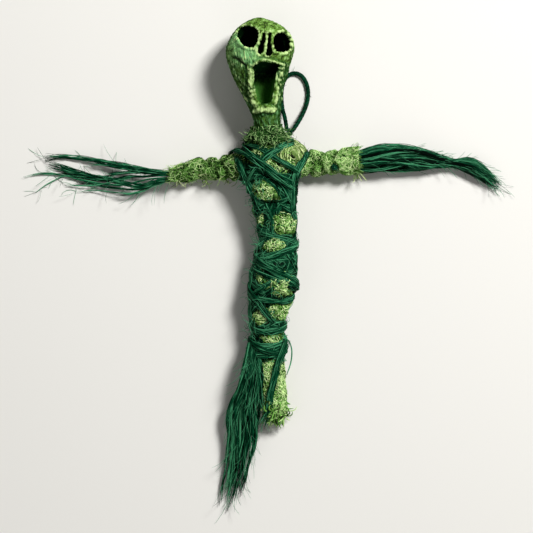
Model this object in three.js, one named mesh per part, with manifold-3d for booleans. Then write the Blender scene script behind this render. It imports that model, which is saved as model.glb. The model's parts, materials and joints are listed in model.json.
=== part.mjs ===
// A voodoo doll lying on its back: moss wound on a cross of two sticks and bound with flat twine,
// a hollow carved head, frayed twine for hands and skirt, and a small hanging loop at the neck.
// Millimetres. +X is the right of the doll as it is seen from above, +Y its head, +Z up from the table.
import * as THREE from 'three';
import { mergeVertices } from 'three/addons/utils/BufferGeometryUtils.js';
import Module from 'manifold-3d';

const wasm = await Module();
wasm.setup();
const DEGREE = Math.PI / 180;
const TURN = 2 * Math.PI;

// Fits
const CLEARANCE = 0.3;          // between pieces that touch
const BAND_LIFT = 0.55;         // between moss and the twine wound on it
const FLAT_DEPTH = 0.5;         // how deep the table flattens what rests on it
const TABLE_GAP = 0.15;         // under the lowest turns of twine
const TABLE_REACH = 600;

// Sticks
const SPINE_STICK = 6;          // diameters
const CROSS_STICK = 4.4;
const CROSS_X = 2.4;            // where the sticks cross
const CROSS_Y = 59.5;
const CROSS_RISE = 9.6;         // axis of the cross stick over the table
const CROSS_TILT = 4.3 * DEGREE;
const STICK_COVER = 1.2;        // least moss over the cross stick
const STICK_END = 4;            // moss past each end of a stick
const NECK_REACH = 24.6;        // from the crossing to the foot of the head
const NECK_PEG = 10;            // end of the spine stick inside the head
const LASHING_CORD = 1.2;
const LASHING_PITCH = 2.2;
const LASHING_TURNS = 2;
const POCKET_SPREAD = 1.17;     // swells the lashing's pocket so that the shifted turns fit in it

// Twine
const TWINE_WIDTH = 4.5;
const TWINE_THICKNESS = 1.7;
const TWINE_PITCH = 5.2;        // turn to turn, side by side

// Chest, from the crossing
const CHEST_ABOVE = 15.5;
const CHEST_BELOW = 21.5;
const CHEST_WIDTH = 30;
const CHEST_DEPTH = 22;
const CHEST_TOP_WIDTH = 25;
const CHEST_TOP_DEPTH = 18;
const CHEST_FOOT_WIDTH = 23;
const CHEST_FOOT_X = 4.6;
const CHEST_BAND_SWEEP = 15.5;  // how far the crossed bands rise and fall from their middle
const CHEST_BAND_DROP = 0.83;   // their middle, under the crossing
const CHEST_BAND_START = 0.625; // share of a turn: the twine starts and ends behind the doll
const CHEST_BAND_TURNS = 1.25;

// Roll of moss under the chest: each place by its drop from the one before, its set aside and its width
const RIBS_DROP = 23.5;
const RIBS_X = 6.7;
const RIBS_WIDTH = 19.4;
const BELLY_DROP = 22.5;
const BELLY_X = 4.4;
const BELLY_WIDTH = 25.2;
const LOIN_DROP = 23.5;
const LOIN_X = 1.1;
const LOIN_WIDTH = 18.4;
const WAIST_DROP = 16;
const WAIST_X = 1.2;
const WAIST_WIDTH = 19.2;
const HIP_DROP = 8.5;
const HIP_WIDTH = 18;
const BODY_FLATNESS = 0.86;     // depth over width of the roll
const MOSS_SWELL = 0.9;         // how far moss stands up between the turns of twine
const TORSO_TURNS = 5.5;
const WAIST_TURNS = 2;

// Leg
const LEG_LENGTH = 33;
const LEG_X = 6.2;
const LEG_WIDTH = 15.6;
const FOOT_TUFTS = 7;
const TUFT_LENGTH = 10;
const TUFT_WIDTH = 4.4;

// Arms, along the cross stick from the crossing
const LEFT_ARM_REACH = 60;
const LEFT_SHOULDER_WIDTH = 16.4;
const LEFT_ELBOW_WIDTH = 13.4;
const LEFT_WRIST_WIDTH = 9.4;
const RIGHT_ARM_REACH = 52.5;
const RIGHT_SHOULDER_WIDTH = 14;
const RIGHT_ELBOW_WIDTH = 15.2;
const RIGHT_WRIST_WIDTH = 15.6;
const ARM_TUCK = 0.8;           // how far an arm starts inside the chest's side, before it is cut
const ARM_TWIST_PITCH = 24;
const ARM_TWIST_DEPTH = 0.5;
const RIGHT_TWIST_START = 67.5 * DEGREE; // at the wrist
const SHOULDER_BAND = 19.6;
const SHOULDER_BAND_SLANT = 2.4;
const SHOULDER_BAND_TURNS = 1.2;
const SHOULDER_BAND_START = -0.35;
const TWINE_END_SHORT = 14.2;    // of the wrist
const TWINE_END_WIDTH = 5;
const TWINE_END_DEPTH = 4;
const TWINE_END_PROUD = 0.6;
const TWINE_END_ANGLE = 117 * DEGREE;

// Head, upright in its own frame: x to its right, y up, z to the front of the face
const HEAD_HEIGHT = 65.4;
const SKULL_WIDTH = 41.2;
const SKULL_BACK = 20.6;
const SKULL_FRONT = 18.6;
const JAW_WIDTH = 23.8;
const JAW_ASIDE = 1.3;          // how far the jaw is set to the left of the head's axis
const NECK_WIDTH = 16;
const HEAD_WALL = 6;
const HEAD_LEAN = 5 * DEGREE;
const HEAD_LIFT = 4 * DEGREE;
const HEAD_TURN = 12 * DEGREE;
const CAVITY_FLOOR = 3;         // thickness between the peg's hole and the hollow
const EYE_WIDTH = 11.2;
const LEFT_EYE_HEIGHT = 12.4;
const RIGHT_EYE_HEIGHT = 11.8;
const EYE_CORNER = 0.16;        // how far one corner of an eye is drawn out
const EYE_BEAD = 2.2;
const NOSE_SLOT = 3;
const LIP_BEAD = 3.4;
const CHIN_BAR = 5.4;
const BEAD_SPREAD = 0.35;       // how far a bead lies outside its opening, as a share of its width
const NECK_GAP = 0.4;           // between the foot of the head and the moss collar
const COLLAR_TUCK = 0.6;        // how far the collar stays inside the chest's top edge
const HIDDEN_FOOT = 2;          // how far the collar runs down before the chest cuts it

// Hands, fringe and loop
const LEFT_KNOT = 8.4;
const RIGHT_KNOT = 14.4;
const HAND_STRAND = 3;
const FLUTE_DEPTH = 0.16;       // share of the half width that the grooves between strands go in
const TASSEL_FLUTES = 11;
const TASSEL_ENDS = 9;
const TASSEL_STRAND = 1.8;
const TASSEL_LOOSE_FROM = 0.74; // share of the length
const FRINGE_KNOT_WIDTH = 9.6;
const FRINGE_KNOT_DEPTH = 4.4;
const FRINGE_FLUTES = 13;
const FRINGE_ENDS = 10;
const FRINGE_STRAND = 1.8;
const FRINGE_LOOSE_FROM = 0.66;
const FRINGE_ASIDE = 4;          // of the middle of the hip
const RIBBON_WIDTH = 4.6;
const RIBBON_FROM = 32 * DEGREE; // round the front of the hip, from its right side
const RIBBON_TO = 134 * DEGREE;
const RIBBON_PAST = 8;           // beyond the foot
const LOOP_CORD = 2.6;
const LOOP_KNOT = 5;
const LOOP_KNOT_ANGLE = -18 * DEGREE;
const LOOP_KNOT_GAP = 0.72;

// Facets
const MOSS_SIDES = 16;
const SKULL_SIDES = 22;
const EYE_SIDES = 20;
const MOUTH_SIDES = 28;
const LOOP_STEPS = 24;          // along each loop of a winding
const LOOP_SIDES = 6;

const UP = new THREE.Vector3(0, 0, 1);
const point = (x, y, z) => new THREE.Vector3(x, y, z);
const mix = THREE.MathUtils.lerp;
const steps = (count, make) => Array.from({ length: count }, (_, i) => make(i));
const sweep = (count, make) => steps(count + 1, (i) => make(i / count));

// A smooth curve through [position, value] stations in rising order
const through = (stations) => {
  const last = stations.length - 1;
  const slope = (i) => {
    const [before, after] = [stations[Math.max(i - 1, 0)], stations[Math.min(i + 1, last)]];
    return (after[1] - before[1]) / (after[0] - before[0]);
  };
  return (position) => {
    const at = THREE.MathUtils.clamp(position, stations[0][0], stations[last][0]);
    const i = Math.min(last - 1, Math.max(0, stations.findIndex((station) => station[0] >= at) - 1));
    const span = stations[i + 1][0] - stations[i][0];
    const t = (at - stations[i][0]) / span;
    const rise = stations[i + 1][1] - stations[i][1];
    const bend = t * (1 - t) * ((slope(i) * span - rise) * (1 - t) - (slope(i + 1) * span - rise) * t);
    return stations[i][1] + rise * t + bend;
  };
};

// A ring of points round a place, then a closed skin over rings that run along across x out
const ring = (at, across, out, wide, thick, sides) => steps(sides, (k) => {
  const angle = (k * TURN) / sides;
  return at.clone()
    .addScaledVector(across, wide * Math.cos(angle))
    .addScaledVector(out, thick * Math.sin(angle));
});
const skin = (rings, endless = false) => {
  const sides = rings[0].length;
  const vertices = rings.flat();
  const index = [];
  const joins = endless ? rings.length : rings.length - 1;
  for (let i = 0; i < joins; i += 1) {
    for (let k = 0; k < sides; k += 1) {
      const [here, next] = [i * sides, ((i + 1) % rings.length) * sides];
      const [a, b, c, d] = [here + k, here + ((k + 1) % sides), next + ((k + 1) % sides), next + k];
      index.push(a, b, c, a, c, d);
    }
  }
  if (!endless) {
    const tail = (rings.length - 1) * sides;
    for (const [start, turned] of [[0, true], [tail, false]]) {
      const middle = vertices.length;
      const centre = point(0, 0, 0);
      steps(sides, (k) => centre.addScaledVector(vertices[start + k], 1 / sides));
      vertices.push(centre);
      for (let k = 0; k < sides; k += 1) {
        const [a, b] = [start + k, start + ((k + 1) % sides)];
        index.push(middle, turned ? b : a, turned ? a : b);
      }
    }
  }
  const geometry = new THREE.BufferGeometry();
  const numbers = vertices.flatMap((v) => v.toArray());
  geometry.setAttribute('position', new THREE.Float32BufferAttribute(numbers, 3));
  geometry.setIndex(index);
  return geometry;
};

// A tube of half sizes reachAt(share of its length) along points, its thickness towards outAt(i)
const tubeRings = (points, sides, reachAt, outAt = () => UP, endless = false) => points.map((at, i) => {
  const count = points.length;
  const ahead = endless ? points[(i + 1) % count] : points[Math.min(i + 1, count - 1)];
  const behind = endless ? points[(i + count - 1) % count] : points[Math.max(i - 1, 0)];
  const along = ahead.clone().sub(behind).normalize();
  const across = outAt(i).clone().cross(along).normalize();
  const out = along.clone().cross(across);
  const [wide, thick] = reachAt(i / (count - 1));
  return ring(at, across, out, wide, thick, sides);
});
const tube = (points, sides, reachAt, outAt, endless) =>
  skin(tubeRings(points, sides, reachAt, outAt, endless), endless);
const smooth = (points, count) => new THREE.CatmullRomCurve3(points).getPoints(count);

// Joins and cuts
const solid = (geometry, matrix = new THREE.Matrix4()) => {
  const plain = geometry.clone().applyMatrix4(matrix);
  plain.deleteAttribute('normal');
  plain.deleteAttribute('uv');
  const merged = mergeVertices(plain, 1e-4);
  return new wasm.Manifold(new wasm.Mesh({
    numProp: 3,
    vertProperties: new Float32Array(merged.attributes.position.array),
    triVerts: new Uint32Array(merged.index.array),
  }));
};
const shape = (manifold) => {
  const mesh = manifold.getMesh();
  const geometry = new THREE.BufferGeometry();
  geometry.setAttribute('position', new THREE.BufferAttribute(new Float32Array(mesh.vertProperties), 3));
  geometry.setIndex(new THREE.BufferAttribute(new Uint32Array(mesh.triVerts), 1));
  return geometry;
};
const joined = (geometries) => geometries.map((g) => solid(g)).reduce((whole, next) => whole.add(next));

// Finishes
const finish = (color, roughness) => new THREE.MeshStandardMaterial({ color, roughness, metalness: 0 });
const MOSS = finish(0x8fb46a, 0.95);
const COLLAR_MOSS = finish(0x6d8a58, 0.95);
const TWINE = finish(0x1d5c40, 0.85);
const WOOD = finish(0x6b4a2c, 0.8);
const HEAD_GREEN = finish(0x6f9448, 0.6);
const CORD = finish(0x2a4a22, 0.9);

const doll = new THREE.Group();
const place = (parent, name, geometry, material) => {
  const mesh = new THREE.Mesh(geometry, material);
  mesh.name = name;
  parent.add(mesh);
  return mesh;
};

// Winding: an unbroken flat tube; its least gap to itself is measured between points of its turns
const winding = (name, turns, onSurface, halfWide = TWINE_WIDTH / 2, halfThick = TWINE_THICKNESS / 2) => {
  const count = Math.round(turns * LOOP_STEPS);
  const track = steps(count + 1, (i) => onSurface(i / LOOP_STEPS));
  const places = track.map((t) => t.at);
  const rings = tubeRings(places, LOOP_SIDES, () => [halfWide, halfThick], (i) => track[i].out);
  let least = Infinity;
  rings.forEach((here, i) => {
    const later = rings.slice(i + LOOP_STEPS / 2).flat();
    for (const p of here) {
      least = later.reduce((gap, q) => Math.min(gap, p.distanceTo(q)), least);
    }
  });
  console.log(`${name}: least gap to itself ${least.toFixed(2)} mm`);
  return skin(rings);
};

// Where the head stands: its axis runs on from the crossing, so the spine stick is straight up to its peg
const spineRise = CROSS_RISE + CROSS_STICK / 2 + CLEARANCE + SPINE_STICK / 2;
const crossing = point(CROSS_X, CROSS_Y, spineRise);
const neckAxis = point(0, 1, 0).applyEuler(new THREE.Euler(HEAD_LIFT, 0, HEAD_LEAN, 'ZXY'));
const neckFoot = crossing.clone().addScaledVector(neckAxis, NECK_REACH);

// Places down the doll
const chestTopY = CROSS_Y + CHEST_ABOVE;
const chestFootY = CROSS_Y - CHEST_BELOW;
const ribsY = chestFootY - RIBS_DROP;
const bellyY = ribsY - BELLY_DROP;
const loinY = bellyY - LOIN_DROP;
const waistY = loinY - WAIST_DROP;
const hipY = waistY - HIP_DROP;
const legY = hipY - LEG_LENGTH;

// Centre line of the spine and of the moss round it, sideways and in height
const bandRoom = BAND_LIFT + TWINE_THICKNESS;
const bandSeat = BAND_LIFT + TWINE_THICKNESS / 2;
const restOnBand = (width) => (width / 2) * BODY_FLATNESS + bandRoom + TABLE_GAP;
const legRise = LEG_WIDTH / 2 - FLAT_DEPTH;
const spineX = through([
  [legY, LEG_X], [hipY, WAIST_X], [waistY, WAIST_X], [loinY, LOIN_X], [bellyY, BELLY_X], [ribsY, RIBS_X],
  [chestFootY, CHEST_FOOT_X], [CROSS_Y, CROSS_X], [neckFoot.y, neckFoot.x],
]);
const spineZ = through([
  [legY, legRise], [mix(hipY, legY, 0.5), legRise], [waistY, restOnBand(WAIST_WIDTH)],
  [bellyY, restOnBand(BELLY_WIDTH)], [CROSS_Y, spineRise], [neckFoot.y, neckFoot.z],
]);

// Spine stick: crooked below the crossing, straight above it
const spineTrack = (reachDown, reachUp) => [
  ...steps(12, (i) => {
    const y = mix(reachDown, CROSS_Y, i / 12);
    return point(spineX(y), y, spineZ(y));
  }),
  ...[0, 0.5, 1].map((share) => crossing.clone().addScaledVector(neckAxis, (NECK_REACH + reachUp) * share)),
];
const spineTube = (reachDown, reachUp, radius) =>
  tube(spineTrack(reachDown, reachUp), 8, () => [radius, radius]);
const spineBore = solid(spineTube(legY + STICK_END - CLEARANCE, NECK_PEG, SPINE_STICK / 2 + CLEARANCE));
place(doll, 'spine_stick', spineTube(legY + STICK_END, NECK_PEG - CLEARANCE, SPINE_STICK / 2), WOOD);

// Cross stick and its frame, along which both arms lie
const arms = new THREE.Group();
arms.position.set(CROSS_X, CROSS_Y, CROSS_RISE);
arms.rotation.z = CROSS_TILT;
arms.updateMatrix();
const toArms = arms.matrix.clone().invert();
doll.add(arms);
const crossRod = (left, right, radius) => {
  const length = left + right;
  return new THREE.CylinderGeometry(radius, radius, length, 8)
    .rotateZ(-Math.PI / 2)
    .translate(right - length / 2, 0, 0);
};
const crossEnds = [LEFT_ARM_REACH - STICK_END, RIGHT_ARM_REACH - STICK_END];
const crossBore = crossRod(
  crossEnds[0] + CLEARANCE,
  crossEnds[1] + CLEARANCE,
  CROSS_STICK / 2 + CLEARANCE,
);
place(arms, 'cross_stick', crossRod(crossEnds[0], crossEnds[1], CROSS_STICK / 2), WOOD);

// Lashing: turns on the slant round both sticks where they cross
const stackHalf = (SPINE_STICK + CROSS_STICK + CLEARANCE) / 2;
const stackMiddle = point(CROSS_X, CROSS_Y, CROSS_RISE - CROSS_STICK / 2 + stackHalf);
const lashingThick = stackHalf + BAND_LIFT + LASHING_CORD / 2;
const lashingShift = (LASHING_PITCH * LASHING_TURNS) / 2;
const lashingWide = (SPINE_STICK / 2 + CLEARANCE + LASHING_CORD / 2) * Math.SQRT2 + lashingShift;
const slant = point(1, 1, 0).normalize();
const beside = point(-1, 1, 0).normalize();
const lashing = winding('cross_lashing', LASHING_TURNS, (turn) => {
  const [c, s] = [Math.cos(turn * TURN), Math.sin(turn * TURN)];
  const out = slant.clone()
    .multiplyScalar(c * lashingThick)
    .addScaledVector(UP, s * lashingWide)
    .normalize();
  const at = stackMiddle.clone()
    .addScaledVector(slant, lashingWide * c)
    .addScaledVector(UP, lashingThick * s)
    .addScaledVector(beside, LASHING_PITCH * turn - lashingShift);
  return { at, out };
}, LASHING_CORD / 2, LASHING_CORD / 2);
place(doll, 'cross_lashing', lashing, CORD);
const pocketRoom = LASHING_CORD / 2 + CLEARANCE;
const pocketWide = (lashingWide + pocketRoom) * POCKET_SPREAD;
const pocketThick = (lashingThick + pocketRoom) * POCKET_SPREAD;
const pocket = new THREE.SphereGeometry(1, 12, 8)
  .scale(pocketWide, pocketWide, pocketThick)
  .translate(stackMiddle.x, stackMiddle.y, stackMiddle.z);

// Chest moss
const chestRise = 2 * bandRoom + TABLE_GAP + CHEST_DEPTH / 2;
const chestFootDepth = CHEST_FOOT_WIDTH * BODY_FLATNESS;
const chestWide = through([
  [chestFootY, CHEST_FOOT_WIDTH / 2], [CROSS_Y, CHEST_WIDTH / 2], [chestTopY, CHEST_TOP_WIDTH / 2]]);
const chestDeep = through([
  [chestFootY, chestFootDepth / 2], [CROSS_Y, CHEST_DEPTH / 2], [chestTopY, CHEST_TOP_DEPTH / 2]]);
const chestZ = through([
  [chestFootY, spineZ(chestFootY)], [CROSS_Y, chestRise], [chestTopY, spineZ(chestTopY)]]);
const chestPoint = (y, angle, lift) => point(
  spineX(y) + (chestWide(y) + lift) * Math.cos(angle),
  y,
  chestZ(y) + (chestDeep(y) + lift) * Math.sin(angle),
);
const chestForm = (grow) => {
  const [top, foot] = [chestTopY + grow, chestFootY - grow];
  return skin(sweep(10, (share) => {
    const y = mix(top, foot, share);
    const level = THREE.MathUtils.clamp(y, chestFootY, chestTopY);
    return steps(MOSS_SIDES, (k) => chestPoint(level, (k * TURN) / MOSS_SIDES, grow).setY(y));
  }));
};
const chestMoss = solid(chestForm(0))
  .subtract(spineBore)
  .subtract(solid(crossBore, arms.matrix))
  .subtract(solid(pocket));
place(doll, 'chest_moss', shape(chestMoss), MOSS);

// Crossed chest bands: each climbs over one shoulder and passes under the other arm
const chestBand = (name, mirrored, layer) => {
  const lift = bandSeat + layer * bandRoom;
  return winding(name, CHEST_BAND_TURNS, (turn) => {
    const swept = (CHEST_BAND_START + turn) * TURN;
    const angle = mirrored ? Math.PI - swept : swept;
    const level = CROSS_Y - CHEST_BAND_DROP - TWINE_PITCH * (turn - CHEST_BAND_TURNS / 2);
    const y = level - CHEST_BAND_SWEEP * Math.cos(swept);
    const out = point(Math.cos(angle) / chestWide(y), 0, Math.sin(angle) / chestDeep(y)).normalize();
    return { at: chestPoint(y, angle, lift), out };
  });
};
place(doll, 'right_chest_band', chestBand('right_chest_band', true, 0), TWINE);
place(doll, 'left_chest_band', chestBand('left_chest_band', false, 1), TWINE);

// Body moss: it stands up a little between the turns of the torso binding
const bodyWide = through([
  [hipY, HIP_WIDTH / 2], [waistY, WAIST_WIDTH / 2], [loinY, LOIN_WIDTH / 2], [bellyY, BELLY_WIDTH / 2],
  [ribsY, RIBS_WIDTH / 2], [chestFootY, CHEST_FOOT_WIDTH / 2]]);
const bindingTopY = chestFootY - TWINE_WIDTH;
const bindingFootY = waistY + TWINE_PITCH * WAIST_TURNS / 2 + 2 * TWINE_WIDTH;
const bindingPitch = (bindingTopY - bindingFootY) / TORSO_TURNS;
const bodyPoint = (y, angle, lift) => {
  const phase = (bindingTopY - y) / bindingPitch - angle / TURN;
  const inside = THREE.MathUtils.smoothstep(y, bindingFootY - bindingPitch / 2, bindingFootY);
  const reach = lift + MOSS_SWELL * inside * (0.5 - 0.5 * Math.cos(phase * TURN));
  return point(
    spineX(y) + (bodyWide(y) + reach) * Math.cos(angle),
    y,
    spineZ(y) + (bodyWide(y) * BODY_FLATNESS + reach) * Math.sin(angle),
  );
};
const bodyOut = (angle) => point(Math.cos(angle) * BODY_FLATNESS, 0, Math.sin(angle)).normalize();
const BODY_RINGS = 30;
const bodyTopY = chestFootY - CLEARANCE;
const bodyForm = skin(sweep(BODY_RINGS, (share) => steps(MOSS_SIDES, (k) =>
  bodyPoint(mix(bodyTopY, hipY, share), (k * TURN) / MOSS_SIDES, 0))));
place(doll, 'body_moss', shape(solid(bodyForm).subtract(spineBore)), MOSS);

// Torso and waist bindings
const bodyWinding = (name, topY, pitch, turns) => winding(name, turns, (turn) => ({
  at: bodyPoint(topY - pitch * turn, turn * TURN, bandSeat),
  out: bodyOut(turn * TURN),
}));
place(doll, 'torso_binding', bodyWinding('torso_binding', bindingTopY, bindingPitch, TORSO_TURNS), TWINE);
const waistTopY = waistY + (TWINE_PITCH * WAIST_TURNS) / 2;
place(doll, 'waist_binding', bodyWinding('waist_binding', waistTopY, TWINE_PITCH, WAIST_TURNS), TWINE);

// Leg moss with a frayed foot, flat where it lies on the table
const legWide = through([
  [legY, LEG_WIDTH * 0.32], [mix(legY, hipY, 0.35), LEG_WIDTH / 2], [hipY, HIP_WIDTH / 2 - CLEARANCE]]);
const legDeep = (y) => legWide(y) * mix(1, BODY_FLATNESS, THREE.MathUtils.smoothstep(y, legY, hipY));
const legForm = skin(sweep(12, (share) => {
  const y = mix(hipY - CLEARANCE, legY, share);
  return steps(MOSS_SIDES, (k) => {
    const angle = (k * TURN) / MOSS_SIDES;
    return point(spineX(y) + legWide(y) * Math.cos(angle), y, spineZ(y) + legDeep(y) * Math.sin(angle));
  });
}));
const tufts = steps(FOOT_TUFTS, (i) => {
  const aside = (i / (FOOT_TUFTS - 1)) * 2 - 1;
  const root = point(LEG_X + aside * LEG_WIDTH * 0.3, mix(legY, hipY, 0.16), legRise + 2.4 * (i % 2));
  const reach = TUFT_LENGTH * (0.75 + 0.25 * ((i * 3) % 4) / 3);
  const tip = root.clone().add(point(aside * reach * 0.32, -reach, -1.6 * (i % 2)));
  const bow = root.clone().lerp(tip, 0.5).add(point(0.9 * (i % 2 ? 1 : -1), 0, 0.4));
  return tube(smooth([root, bow, tip], 4), 4, (share) => {
    const reachHere = (TUFT_WIDTH / 2) * (1 - 0.85 * share);
    return [reachHere, reachHere];
  });
});
const table = new THREE.BoxGeometry(TABLE_REACH, TABLE_REACH, TABLE_REACH).translate(0, 0, -TABLE_REACH / 2);
const legMoss = solid(legForm).add(joined(tufts)).subtract(spineBore).subtract(solid(table));
place(doll, 'leg_moss', shape(legMoss), MOSS);

// Arms: the moss settles on the table, stands on its band at the shoulder and keeps the stick covered
const bandStand = bandRoom + FLAT_DEPTH + ARM_TWIST_DEPTH;
const armCentre = (half, along) => {
  const pastBand = THREE.MathUtils.smoothstep(Math.abs(along), SHOULDER_BAND, 1.6 * SHOULDER_BAND);
  const leastRise = CROSS_RISE + CROSS_STICK / 2 + STICK_COVER - half(along);
  return Math.max(half(along) - FLAT_DEPTH + bandStand * (1 - pastBand), leastRise) - CROSS_RISE;
};
const twistAt = (along) => (along > 0
  ? RIGHT_TWIST_START + ((along - RIGHT_ARM_REACH) / ARM_TWIST_PITCH) * TURN
  : (along / ARM_TWIST_PITCH) * TURN);
const armPoint = (half, along, angle, lift) => {
  const twist = ARM_TWIST_DEPTH * Math.cos(2 * angle - twistAt(along));
  const reach = half(along) + lift + twist;
  return point(along, reach * Math.cos(angle), armCentre(half, along) + reach * Math.sin(angle));
};
const leftHalf = through([
  [-LEFT_ARM_REACH, LEFT_WRIST_WIDTH / 2], [-LEFT_ARM_REACH * 0.62, LEFT_ELBOW_WIDTH / 2],
  [-CHEST_WIDTH / 2, LEFT_SHOULDER_WIDTH / 2]]);
const rightHalf = through([
  [CHEST_WIDTH / 2, RIGHT_SHOULDER_WIDTH / 2], [RIGHT_ARM_REACH * 0.62, RIGHT_ELBOW_WIDTH / 2],
  [RIGHT_ARM_REACH, RIGHT_WRIST_WIDTH / 2]]);
const armForm = (half, from, to) => skin(sweep(14, (share) => steps(MOSS_SIDES, (k) =>
  armPoint(half, mix(from, to, share), (k * TURN) / MOSS_SIDES, 0))));
const chestSide = CHEST_WIDTH / 2 - ARM_TUCK;
const armCuts = solid(table, toArms).add(solid(crossBore));
const chestCut = solid(chestForm(CLEARANCE), toArms);
const leftArm = solid(armForm(leftHalf, -LEFT_ARM_REACH, -chestSide))
  .subtract(chestCut)
  .subtract(armCuts);
place(arms, 'left_arm_moss', shape(leftArm), MOSS);

// Dark end of twine set in the front of the right arm
const endSeat = armPoint(rightHalf, RIGHT_ARM_REACH - TWINE_END_SHORT, TWINE_END_ANGLE, 0);
const endOut = point(0, Math.cos(TWINE_END_ANGLE), Math.sin(TWINE_END_ANGLE));
const intoArm = new THREE.Matrix4()
  .makeRotationFromQuaternion(new THREE.Quaternion().setFromUnitVectors(point(0, 1, 0), endOut))
  .setPosition(endSeat);
const plug = (radius, foot, top) => new THREE.CylinderGeometry(radius * 0.7, radius, top - foot, 10)
  .translate(0, (top + foot) / 2, 0)
  .applyMatrix4(intoArm);
const holeHalf = TWINE_END_WIDTH / 2 + CLEARANCE;
const plugHole = new THREE.CylinderGeometry(holeHalf, holeHalf, 2 * TWINE_END_DEPTH, 10)
  .applyMatrix4(intoArm);
const rightArm = solid(armForm(rightHalf, chestSide, RIGHT_ARM_REACH))
  .subtract(chestCut)
  .subtract(armCuts)
  .subtract(solid(plugHole));
place(arms, 'right_arm_moss', shape(rightArm), MOSS);
const twineEnd = plug(TWINE_END_WIDTH / 2, CLEARANCE - TWINE_END_DEPTH, TWINE_END_PROUD);
place(arms, 'arm_twine_end', twineEnd, TWINE);

// Shoulder bindings round the roots of the arms
const shoulderBand = (name, half, side) => winding(name, SHOULDER_BAND_TURNS, (turn) => {
  const angle = (turn + SHOULDER_BAND_START) * TURN;
  const lean = SHOULDER_BAND_SLANT * Math.cos(angle);
  const at = side * (SHOULDER_BAND + lean) + TWINE_PITCH * (turn - SHOULDER_BAND_TURNS / 2);
  return { at: armPoint(half, at, angle, bandSeat), out: point(0, Math.cos(angle), Math.sin(angle)) };
});
const shoulders = [['left_shoulder_band', leftHalf, -1], ['right_shoulder_band', rightHalf, 1]];
for (const [name, half, side] of shoulders) {
  place(arms, name, shoulderBand(name, half, side), TWINE);
}

// Neck collar of moss, standing on the chest and cut square to the axis that the head turns on
const neckFrame = new THREE.Group();
neckFrame.position.copy(neckFoot);
neckFrame.rotation.set(HEAD_LIFT, 0, HEAD_LEAN, 'ZXY');
neckFrame.updateMatrix();
doll.add(neckFrame);
const toNeck = neckFrame.matrix.clone().invert();
const collarLength = NECK_REACH - CHEST_ABOVE;
const collarReach = (footSize, footTuck) => through([
  [-collarLength, footSize / 2 - footTuck],
  [-collarLength * 0.4, (footSize + NECK_WIDTH) / 4],
  [0, NECK_WIDTH / 2],
]);
const collarHalf = collarReach(CHEST_TOP_WIDTH, COLLAR_TUCK);
const collarDeep = collarReach(CHEST_TOP_DEPTH, 0);
const collarForm = skin(sweep(7, (share) => {
  const y = mix(-NECK_GAP, -collarLength - HIDDEN_FOOT, share);
  return ring(point(0, y, 0), point(1, 0, 0), UP, collarHalf(y), collarDeep(y), MOSS_SIDES);
}));
const collar = solid(collarForm)
  .subtract(solid(chestForm(CLEARANCE), toNeck))
  .subtract(solid(spineTube(legY + STICK_END, NECK_PEG, SPINE_STICK / 2 + CLEARANCE), toNeck));
place(neckFrame, 'neck_moss', shape(collar), COLLAR_MOSS);

// Head
const head = new THREE.Group();
head.position.copy(neckFoot);
head.rotation.set(HEAD_LIFT, HEAD_TURN, HEAD_LEAN, 'ZXY');
head.updateMatrix();
doll.add(head);
const skullLevel = (share) => HEAD_HEIGHT * share;
const skullHalf = through([
  [0, NECK_WIDTH / 2], [skullLevel(0.08), NECK_WIDTH / 2], [skullLevel(0.3), JAW_WIDTH / 2],
  [skullLevel(0.5), SKULL_WIDTH * 0.413], [skullLevel(0.7), SKULL_WIDTH / 2],
  [skullLevel(0.83), SKULL_WIDTH * 0.425], [skullLevel(0.94), SKULL_WIDTH * 0.26],
  [HEAD_HEIGHT, SKULL_WIDTH * 0.05]]);
const skullBack = through([
  [0, NECK_WIDTH / 2], [skullLevel(0.18), NECK_WIDTH * 0.53], [skullLevel(0.31), SKULL_BACK * 0.52],
  [skullLevel(0.55), SKULL_BACK * 0.83], [skullLevel(0.72), SKULL_BACK],
  [skullLevel(0.84), SKULL_BACK * 0.92], [skullLevel(0.94), SKULL_BACK * 0.58],
  [HEAD_HEIGHT, SKULL_BACK * 0.05]]);
const skullFront = through([
  [0, NECK_WIDTH / 2], [skullLevel(0.18), SKULL_FRONT * 0.55], [skullLevel(0.31), SKULL_FRONT * 0.68],
  [skullLevel(0.55), SKULL_FRONT * 0.89], [skullLevel(0.72), SKULL_FRONT],
  [skullLevel(0.84), SKULL_FRONT * 0.93], [skullLevel(0.94), SKULL_FRONT * 0.6],
  [HEAD_HEIGHT, SKULL_FRONT * 0.05]]);
const skullAside = through([
  [0, 0], [skullLevel(0.08), 0], [skullLevel(0.3), -JAW_ASIDE], [skullLevel(0.5), -JAW_ASIDE],
  [skullLevel(0.7), 0], [HEAD_HEIGHT, 0]]);
const skullRing = (y, wall, sides) => {
  const [half, back, front] = [skullHalf(y) - wall, skullBack(y) - wall, skullFront(y) - wall];
  const middle = point(skullAside(y), y, (front - back) / 2);
  return ring(middle, point(1, 0, 0), UP, half, (front + back) / 2, sides);
};
const faceAt = (x, y) => {
  const [half, back, front] = [skullHalf(y), skullBack(y), skullFront(y)];
  const share = Math.sqrt(Math.max(0, 1 - ((x - skullAside(y)) / half) ** 2));
  return point(x, y, (front - back) / 2 + ((front + back) / 2) * share);
};
const crownward = (share) => HEAD_HEIGHT * (1 - (1 - share) ** 1.6);   // rings lie closer near the crown
const skullForm = skin(sweep(17, (share) => skullRing(crownward(1 - share), 0, SKULL_SIDES)));
const [cavityTop, cavityFoot] = [HEAD_HEIGHT - HEAD_WALL, NECK_PEG + CAVITY_FLOOR];
const cavityForm = skin(sweep(8, (share) => skullRing(mix(cavityTop, cavityFoot, share), HEAD_WALL, 14)));

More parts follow.
